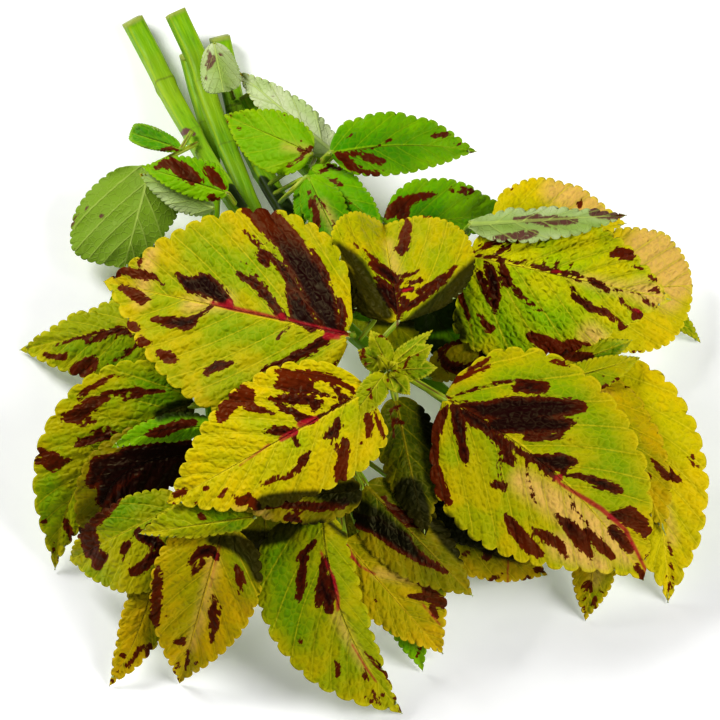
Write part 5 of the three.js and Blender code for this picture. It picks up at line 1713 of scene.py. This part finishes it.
GOLD = upper_face(
    "coleus_gold", (204, 180, 0), (156, 170, 0), (126, 162, 0), (222, 202, 30),
    rust=(92, 30, 2), gloss=0.46,
)
# A lighter copy of the gold face: painted light, for leaves that lie in the light.
LIT_GOLD = upper_face(
    "coleus_bright", (226, 196, 0), (196, 188, 0), (148, 176, 0), (232, 212, 40),
    rust=(104, 36, 2), gloss=0.44,
)
LIME = upper_face(
    "coleus_lime", (184, 170, 0), (136, 158, 0), (88, 142, 0), (206, 196, 30),
    rust=(74, 26, 4), gloss=0.44,
)
AMBER = upper_face(
    "coleus_amber", (200, 164, 0), (164, 156, 0), (108, 138, 0), (218, 188, 30),
    rust=(72, 28, 2), gloss=0.46,
)
GREEN = upper_face(
    "coleus_green", (130, 182, 0), (92, 160, 0), (62, 138, 0), (150, 188, 20),
    rust=(74, 22, 4), gloss=0.46, quilt=0.28,
)
FRESH = upper_face(
    "coleus_fresh", (136, 180, 0), (110, 170, 0), (80, 148, 0), (164, 190, 20),
    rust=(90, 46, 2), gloss=0.46, quilt=0.22,
)
QUILTED = upper_face(
    "coleus_quilted", (214, 200, 0), (166, 190, 0), (120, 176, 0), (226, 212, 40),
    rust=(92, 26, 4), gloss=0.42, quilt=0.6,
)
# A darker copy of the gold face: painted shade, for leaves that lie deep in the bunch.
SHADED_GOLD = upper_face(
    "coleus_shaded", (158, 138, 2), (112, 114, 0), (44, 66, 2), (160, 142, 20),
    rust=(40, 10, 6), gloss=0.4,
)
YOUNG = upper_face(
    "coleus_young", (176, 172, 4), (132, 152, 2), (84, 134, 2), (212, 204, 50),
    rust=(92, 30, 2), gloss=0.5,
)
print("materials so far:", len(bpy.data.materials))

# %% [markdown]
# ## The leaf's underside
#
# The underside is paler and duller. All the veins stand out of it, and where the upper face
# is maroon the underside shows purple.

# %% The leaf's underside
PURPLE = colour(96, 26, 46)
VEIN_HEIGHT = 0.4  # millimetres
DOWN = 0.12


def underside():
    """The pale face that five leaves turn up."""
    net = Network("coleus_underside")
    veins = Veins(net, (0.84, 0.96), (0.8, 1.4), (0.01, 0.1))
    broad = net.noise(veins.where, 0.06, 3.0)
    green = net.attribute("tone")[0]
    ground = net.mix(net.step(broad, 0.36, 0.64), colour(204, 214, 166), colour(180, 200, 132))
    ground = net.mix(net.times(green, 0.95), ground, colour(124, 158, 10))
    maroon = net.attribute("marks")[0]
    jump = net.times(net.math("SUBTRACT", net.cells(veins.where, 2.3)["Color"], 0.5), 1.5)
    blotch = net.step(net.math("ADD", maroon, jump), -0.4, 0.4, 0.9, 0.0)
    ground = net.mix(blotch, ground, PURPLE)
    surface = net.mix(veins.pale(0.4, 0.5), ground, colour(178, 198, 96))
    raised = net.math("MAXIMUM", net.times(veins.fine, 0.5), veins.side)
    normal = net.bump(net.math("MAXIMUM", raised, veins.midrib), VEIN_HEIGHT * MM, 0.8)
    normal = net.bump(net.noise(veins.where, 3.0, 2.0), DOWN * MM, 0.5, below=normal)
    rough = net.step(broad, 0.3, 0.7, 0.55, 0.68)
    return net.finish(surface, rough, normal, Specular_IOR_Level=0.2)


UNDERSIDE = underside()
print("made", UNDERSIDE.name)

# %% [markdown]
# ## The colour of stalks and stems
#
# Both are juicy green, streaked along their length. A stalk has a maroon line in its groove.
# A stem has paler corners, fine brown streaks and a brown scar at each joint, and is pale
# close to its cut end.

# %% The colour of a stalk
STALK_LIGHT = colour(176, 184, 40)
STALK_DEEP = colour(128, 166, 24)
# Painted shade on the stalk's lower side.
STALK_SHADE_BELOW = colour(74, 116, 16)
STALK_LINE = colour(104, 38, 34)


def stalk_material():
    """Green with a broken maroon line along the groove."""
    net = Network("coleus_stalk")
    _, around, _ = net.attribute("veins")
    x, y, seed = net.attribute("grain")
    where = net.vector(net.times(x, 1.6), net.times(y, 0.12), seed)
    streaks = net.noise(where, 1.4, 3.0)
    ground = net.mix(net.step(streaks, 0.35, 0.65), STALK_LIGHT, STALK_DEEP)
    top = net.attribute("tone")[0]
    # Painted shade: the stalk is darker on its lower side.
    ground = net.mix(net.step(top, -0.9, 0.3, 0.55, 0.0), ground, STALK_SHADE_BELOW)
    from_groove = net.math("ABSOLUTE", net.math("SUBTRACT", around, math.pi / 2))
    patchy = net.step(net.noise(net.vector(y, seed, 0.0), 0.09, 2.0), 0.4, 0.55)
    line = net.times(net.step(from_groove, 0.14, 0.42, 0.75, 0.0), patchy)
    maroon = net.attribute("marks")[0]
    line = net.math("MAXIMUM", line, net.step(maroon, -0.4, 0.4, 0.9, 0.0))
    surface = net.mix(line, ground, STALK_LINE)
    rough = net.step(streaks, 0.3, 0.7, 0.4, 0.5)
    return net.finish(surface, rough, net.bump(streaks, 0.2 * MM, 0.6), Specular_IOR_Level=0.4)


STALK_LOOK = stalk_material()
print("made", STALK_LOOK.name)

# %% The colour of a stem
STEM_LIGHT = colour(142, 186, 14)
STEM_DEEP = colour(104, 162, 2)
STEM_BROAD = colour(158, 184, 34)
STEM_CORNER = colour(172, 194, 36)
STEM_BROWN = colour(112, 96, 28)
STEM_SCAR = colour(96, 104, 34)
STEM_CUT = colour(164, 168, 84)
STEM_PURPLE = colour(104, 44, 66)
STEM_SHADED = colour(14, 22, 2)


def stem_material():
    """Green with paler corners, brown streaks, scars, and a pale cut end."""
    net = Network("coleus_stem")
    along, around, _ = net.attribute("veins")
    seed = net.attribute("grain")[2]
    maroon, shade, _ = net.attribute("marks")
    from_joint = net.attribute("tone")[1]
    where = net.vector(net.times(around, 3.0), net.times(along, 0.06), seed)
    streaks = net.noise(where, 1.6, 4.0)
    broad = net.noise(net.vector(along, around, seed), 0.035, 2.0)
    corner = net.math("COSINE", net.times(around, 4.0))
    purple = net.math("ADD", maroon, net.times(streaks, 1.5))
    surface = net.mix(net.step(streaks, 0.2, 0.8), STEM_LIGHT, STEM_DEEP)
    layers = (
        (net.step(broad, 0.4, 0.65, 0.0, 0.5), STEM_BROAD),
        (net.step(corner, -1.0, -0.86, 0.55, 0.0), STEM_CORNER),
        (net.times(net.step(streaks, 0.6, 0.72), 0.3), STEM_BROWN),
        (net.step(net.math("ABSOLUTE", from_joint), 0.0, 1.2, 0.6, 0.0), STEM_SCAR),
        (net.step(along, 0.3, 3.0, 0.75, 0.0), STEM_CUT),
        (net.step(purple, 0.2, 1.0, 0.9, 0.0), STEM_PURPLE),
        (net.step(shade, -0.5, 0.5, 0.92, 0.0), STEM_SHADED),
    )
    for share, tone in layers:
        surface = net.mix(share, surface, tone)
    rough = net.step(streaks, 0.3, 0.7, 0.4, 0.55)
    return net.finish(surface, rough, net.bump(streaks, 0.3 * MM, 0.6), Specular_IOR_Level=0.22)


STEM_LOOK = stem_material()
print("made", STEM_LOOK.name)

# %% [markdown]
# ## The leaves
#
# The leaves of one bunch differ: old ones are amber and those at the back are green. Those
# in the light are given a lighter gold, which is painted light, and those deep inside a
# duller, darker one, which is painted shade. One material could be made for each leaf, but a
# few upper faces that differ in their tones, used again and again, do as well.
# Leaves that lie turned over show their underside instead.

# %% Which leaf has which face
TURNED = (
    "leaf_turned_wide", "leaf_turned_small", "leaf_turned_long", "leaf_cut_end",
    "leaf_turned_edge",
)
FACES = (  # an upper face, its slot, and the leaves that have it instead of the plain gold one
    (AMBER, "leaf_gold", (
        "leaf_front_gold", "leaf_front_low", "leaf_front_fang", "leaf_front_right",
        "leaf_front_curled", "leaf_right_tucked",
    )),
    # Painted light: the lighter gold face, for leaves that lie in the light.
    (LIT_GOLD, "leaf_gold", (
        "leaf_great_front", "leaf_right_hanging", "leaf_right_pale", "leaf_back_pale",
    )),
    (LIME, "leaf_gold", (
        "leaf_left_point", "leaf_right_spear", "leaf_left_front", "leaf_left_outer",
        "leaf_front_long", "leaf_spout",
    )),
    (LIME, "leaf_green", ("leaf_right_fold", "leaf_right_hook", "leaf_under_heart")),
    (QUILTED, "leaf_gold", ("leaf_right_quilted",)),
    (FRESH, "leaf_green", ("leaf_back_lime",)),
    (GREEN, "leaf_green", (
        "leaf_under_back", "leaf_under_middle", "leaf_under_left", "leaf_back_long",
        "leaf_back_striped", "leaf_back_green", "leaf_inner_green", "leaf_inner_dark",
        "leaf_sprig", "leaf_ear", "leaf_front_green", "leaf_banded", "leaf_left_sliver",
    )),
    # Painted shade: the darker face, for leaves deep in the bunch, some of them also maroon.
    (SHADED_GOLD, "leaf_maroon", (
        "leaf_left_dark", "leaf_front_dark", "leaf_front_brown", "leaf_front_olive",
        "leaf_under_front", "leaf_under_low", "leaf_heart_shade", "leaf_collar",
    )),
)


def looks_of(name):
    """The upper, lower and stalk materials of a leaf, and its material slot."""
    upper, slot = GOLD, "leaf_gold"
    for face, its_slot, leaves in FACES:
        if name in leaves:
            upper, slot = face, its_slot
    if name in TURNED:
        return (UNDERSIDE, upper, STALK_LOOK), "leaf_underside"
    return (upper, UNDERSIDE, STALK_LOOK), slot


print("leaves with a face of their own:", sum(len(leaves) for _, _, leaves in FACES))

# %% The leaves


def settle(obj, slot, *nodes):
    """Ties a piece to the frame: it rides on the one body and stands for its solid nodes."""
    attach(obj, "root")
    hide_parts(*nodes)


stalks = 0
for seed, (name, layout) in enumerate(LEAVES.items()):
    blade = Blade(layout)
    grid = lift_onto(name, blade_grid(blade))
    piece = Piece()
    upper = add_blade(piece, name, blade, grid, name in TURNED, seed)
    stalks += add_stalk(piece, name, blade, upper, seed)
    materials, slot = looks_of(name)
    settle(piece.mesh(name + "_leaf", materials), slot, name)
print("leaves:", len(LEAVES), "of them with a stalk:", stalks)

# %% [markdown]
# ## The growing tip
#
# At the end of the top stem the youngest leaves stand round three buds. They grow from one
# axis, so they are one piece. They are small blades made by the same functions, with the buds
# standing steeply in their middle.

# %% The growing tip
YOUNG_WITHIN = (-1.5, 5.0)  # a young leaf's solid is looked for this near its layout height
TIP_SEED = 60
TIP_RINGS = 9
BUDS = [
    {"from": (10.5, -3.5), "to": (8, 0.5), "wide": (1.4, 1.4), "out": (9, 12)},
    {"from": (11.5, -4.5), "to": (14, -7.5), "wide": (1.4, 1.4), "out": (9, 12.5)},
    {"from": (11.5, -3.5), "to": (13, -0.5), "wide": (1.1, 1.1), "out": (9.5, 12)},
]

piece = Piece()
for seed, young in enumerate(YOUNG_LEAVES + BUDS):
    ends = zip((young["from"], young["to"]), young["out"])
    high = [float(world((*end, TIP_FOOT + out))[2]) / MM for end, out in ends]
    blade = Blade({**YOUNG_LEAF, **young, "high": high})
    grid = blade_grid(blade)
    if seed < len(YOUNG_LEAVES):
        lift_onto("growing_tip", grid, YOUNG_WITHIN)
    add_blade(piece, "growing_tip", blade, grid, False, seed + TIP_SEED)
steps = np.linspace(0, 1, TIP_RINGS)
axis = [(*TIP, TIP_FOOT + TIP_RISE * step) for step in steps]
radii = np.interp(steps, (0, 0.5, 1), TIP_RADII) * MM
values = tube_values("growing_tip", world(axis), radii, STALK_PROFILE, TIP_SEED)
rings = sweep(world(axis), radii, STALK_PROFILE)
piece.add(rings, ring_faces(TIP_RINGS, STALK_SIDES), STALK, values)
tip = piece.mesh("growing_tip_rosette", (YOUNG, UNDERSIDE, STALK_LOOK))
settle(tip, "young_leaf", "growing_tip")
print("young leaves:", len(YOUNG_LEAVES), "and", len(BUDS), "buds")

# %% [markdown]
# ## The stems
#
# A stem runs through its points on a smooth curve. Its middle is found between a ray from
# above and one from below, so it lies just where the solid lies. Every few centimetres there
# is a joint, where a pair of leaves grew, and the stem is a little thicker there.

# %% The line of a stem
STEM_STEPS = 12  # rings from one point to the next


def curve_through(points, steps):
    """A smooth curve through points, with its first stretch kept straight."""
    knots = np.array(points, float)
    padded = np.vstack([2 * knots[0] - knots[1], knots, 2 * knots[-1] - knots[-2]])
    line = []
    for k in range(len(knots) - 1):
        a, b, c, d = padded[k : k + 4]
        for s in np.arange(steps) / steps:
            if k == 0:
                line.append(b + (c - b) * s)
                continue
            bend = (2 * a - 5 * b + 4 * c - d) * s**2 + (3 * b - a - 3 * c + d) * s**3
            line.append(0.5 * (2 * b + (c - a) * s + bend))
    line.append(knots[-1])
    return np.array(line)


def stem_line(name, points):
    """The middle line of a stem as it lies, in plane points."""
    line = curve_through([(u, v, out_of(v, z)) for u, v, z in points], STEM_STEPS)
    for k, (u, v, _) in enumerate(line):
        high = height_over(name, u, v)
        low = height_over(name, u, v, start=-RAY_START, towards=1)
        line[k, 2] = (high + low) / 2
    known = np.flatnonzero(~np.isnan(line[:, 2]))
    line[:, 2] = np.interp(np.arange(len(line)), known, line[known, 2])
    eased(line[:, 2], 6)
    return line


longest = max(STEMS, key=lambda name: len(STEMS[name]))
print("the stem with the most points is", longest, "with", len(STEMS[longest]))

# %% The stems
STEM_SIDE = 8.5
STEM_TAPER = 0.62
STEM_INSIDE = 0.97  # the finer stem stays just inside its solid
FIRST_JOINT = 36.0
JOINT_EVERY = 34.0
JOINT_SWELL = 0.1
JOINT_LENGTH = 2.6

for seed, (name, points) in enumerate(STEMS.items()):
    line = world(stem_line(name, points))
    along = length_along(line)
    grown = np.clip((np.arange(len(line)) - STEM_STEPS) / (len(line) - 1 - STEM_STEPS), 0, 1)
    half = STEM_SIDE / 2 * (1 + (STEM_TAPER - 1) * grown) * STEM_INSIDE
    joints = np.arange(FIRST_JOINT, along[-1], JOINT_EVERY)
    from_joint = along + FAR
    if len(joints):
        from_joint = np.min(np.abs(along[:, None] - joints[None, :]), axis=1)
    radii = half * (1 + JOINT_SWELL * np.exp(-((from_joint / JOINT_LENGTH) ** 2))) * MM
    values = tube_values(name, line, radii, STEM_PROFILE, seed, from_joint)
    piece = Piece()
    piece.add(sweep(line, radii, STEM_PROFILE), ring_faces(len(line), STEM_POINTS), 0, values)
    settle(piece.mesh(name + "_stem", (STEM_LOOK,)), "stem", name)

# %% [markdown]
# ## Table, light and camera
#
# The bunch lies on a plain white table under soft light: a large lamp from the upper left, a
# second one from the lower right, and a dim, even surround. Smaller lamps would give hard
# shadows, and the leaves' gloss would break up into spots. The camera looks straight down on
# the laying plane through a long lens, so nothing is foreshortened.

# %% The table
TABLE_SIZE = 3.0  # metres
TABLE_DROP = 0.0004
GLOW = 0.12  # the table is lit a little from below, so that shadows stay soft
WHITE = (1.0, 1.0, 1.0, 1.0)

paper = Network("table_paper")
grain = paper.noise(None, 260.0, 3.0)
paper_colour = paper.mix(paper.step(grain, 0.2, 0.8), colour(248, 248, 248), colour(252, 252, 252))
paper.finish(
    paper_colour, paper.step(grain, 0.2, 0.8, 0.8, 0.9), paper.bump(grain, 0.02 * MM, 0.3),
    Emission_Color=WHITE, Emission_Strength=GLOW,
)
half = TABLE_SIZE / 2
corners = [(-half, -half), (half, -half), (half, half), (-half, half)]
table_mesh = bpy.data.meshes.new("table")
table_mesh.from_pydata([(x, y, -TABLE_DROP) for x, y in corners], [], [(0, 1, 2, 3)])
table_mesh.materials.append(paper.material)
table = bpy.data.objects.new("table", table_mesh)
bpy.context.scene.collection.objects.link(table)
print("the table is", TABLE_SIZE, "m wide")

# %% The light
SURROUND = 0.14

surround = bpy.data.worlds.new("soft_surround")
surround.use_nodes = True
background = surround.node_tree.nodes["Background"]
background.inputs[0].default_value = WHITE
background.inputs[1].default_value = SURROUND
bpy.context.scene.world = surround


def lamp(name, place, size, power):
    """A square soft lamp that points at the middle of the bunch."""
    light = bpy.data.lights.new(name, "AREA")
    light.shape = "SQUARE"
    light.size = size
    light.energy = power
    obj = bpy.data.objects.new(name, light)
    obj.location = place
    obj.rotation_mode = "QUATERNION"
    obj.rotation_quaternion = (-Vector(place)).to_track_quat("-Z", "Y")
    bpy.context.scene.collection.objects.link(obj)


lamp("left_lamp", (-0.95, 0.6, 1.0), 0.6, 16.6)
lamp("right_lamp", (1.05, -0.5, 1.05), 0.8, 14.0)
print("lamps:", len(bpy.data.lights))

# %% The camera
LENS = 1000.0  # millimetres
SENSOR = 36.0
FRAME_WIDTH = 0.288  # metres of the laying plane across the picture
FOCUS_W = 45.0  # the height over the plane that has this width, in millimetres
NEAREST = 0.5

away = FRAME_WIDTH * LENS / SENSOR
camera_data = bpy.data.cameras.new("camera")
camera_data.lens = LENS
camera_data.sensor_width = SENSOR
camera_data.clip_start = NEAREST
camera_data.clip_end = 2 * away
camera = bpy.data.objects.new("camera", camera_data)
camera.location = Vector(world((0, 0, FOCUS_W))) + OUTWARD * away
camera.rotation_euler = (math.pi / 2 - LEAN, 0, 0)
bpy.context.scene.collection.objects.link(camera)
bpy.context.scene.camera = camera
bpy.context.scene.view_settings.view_transform = "Standard"
bpy.context.scene.view_settings.look = "Medium High Contrast"
print("camera stands off by", round(away, 2), "m")
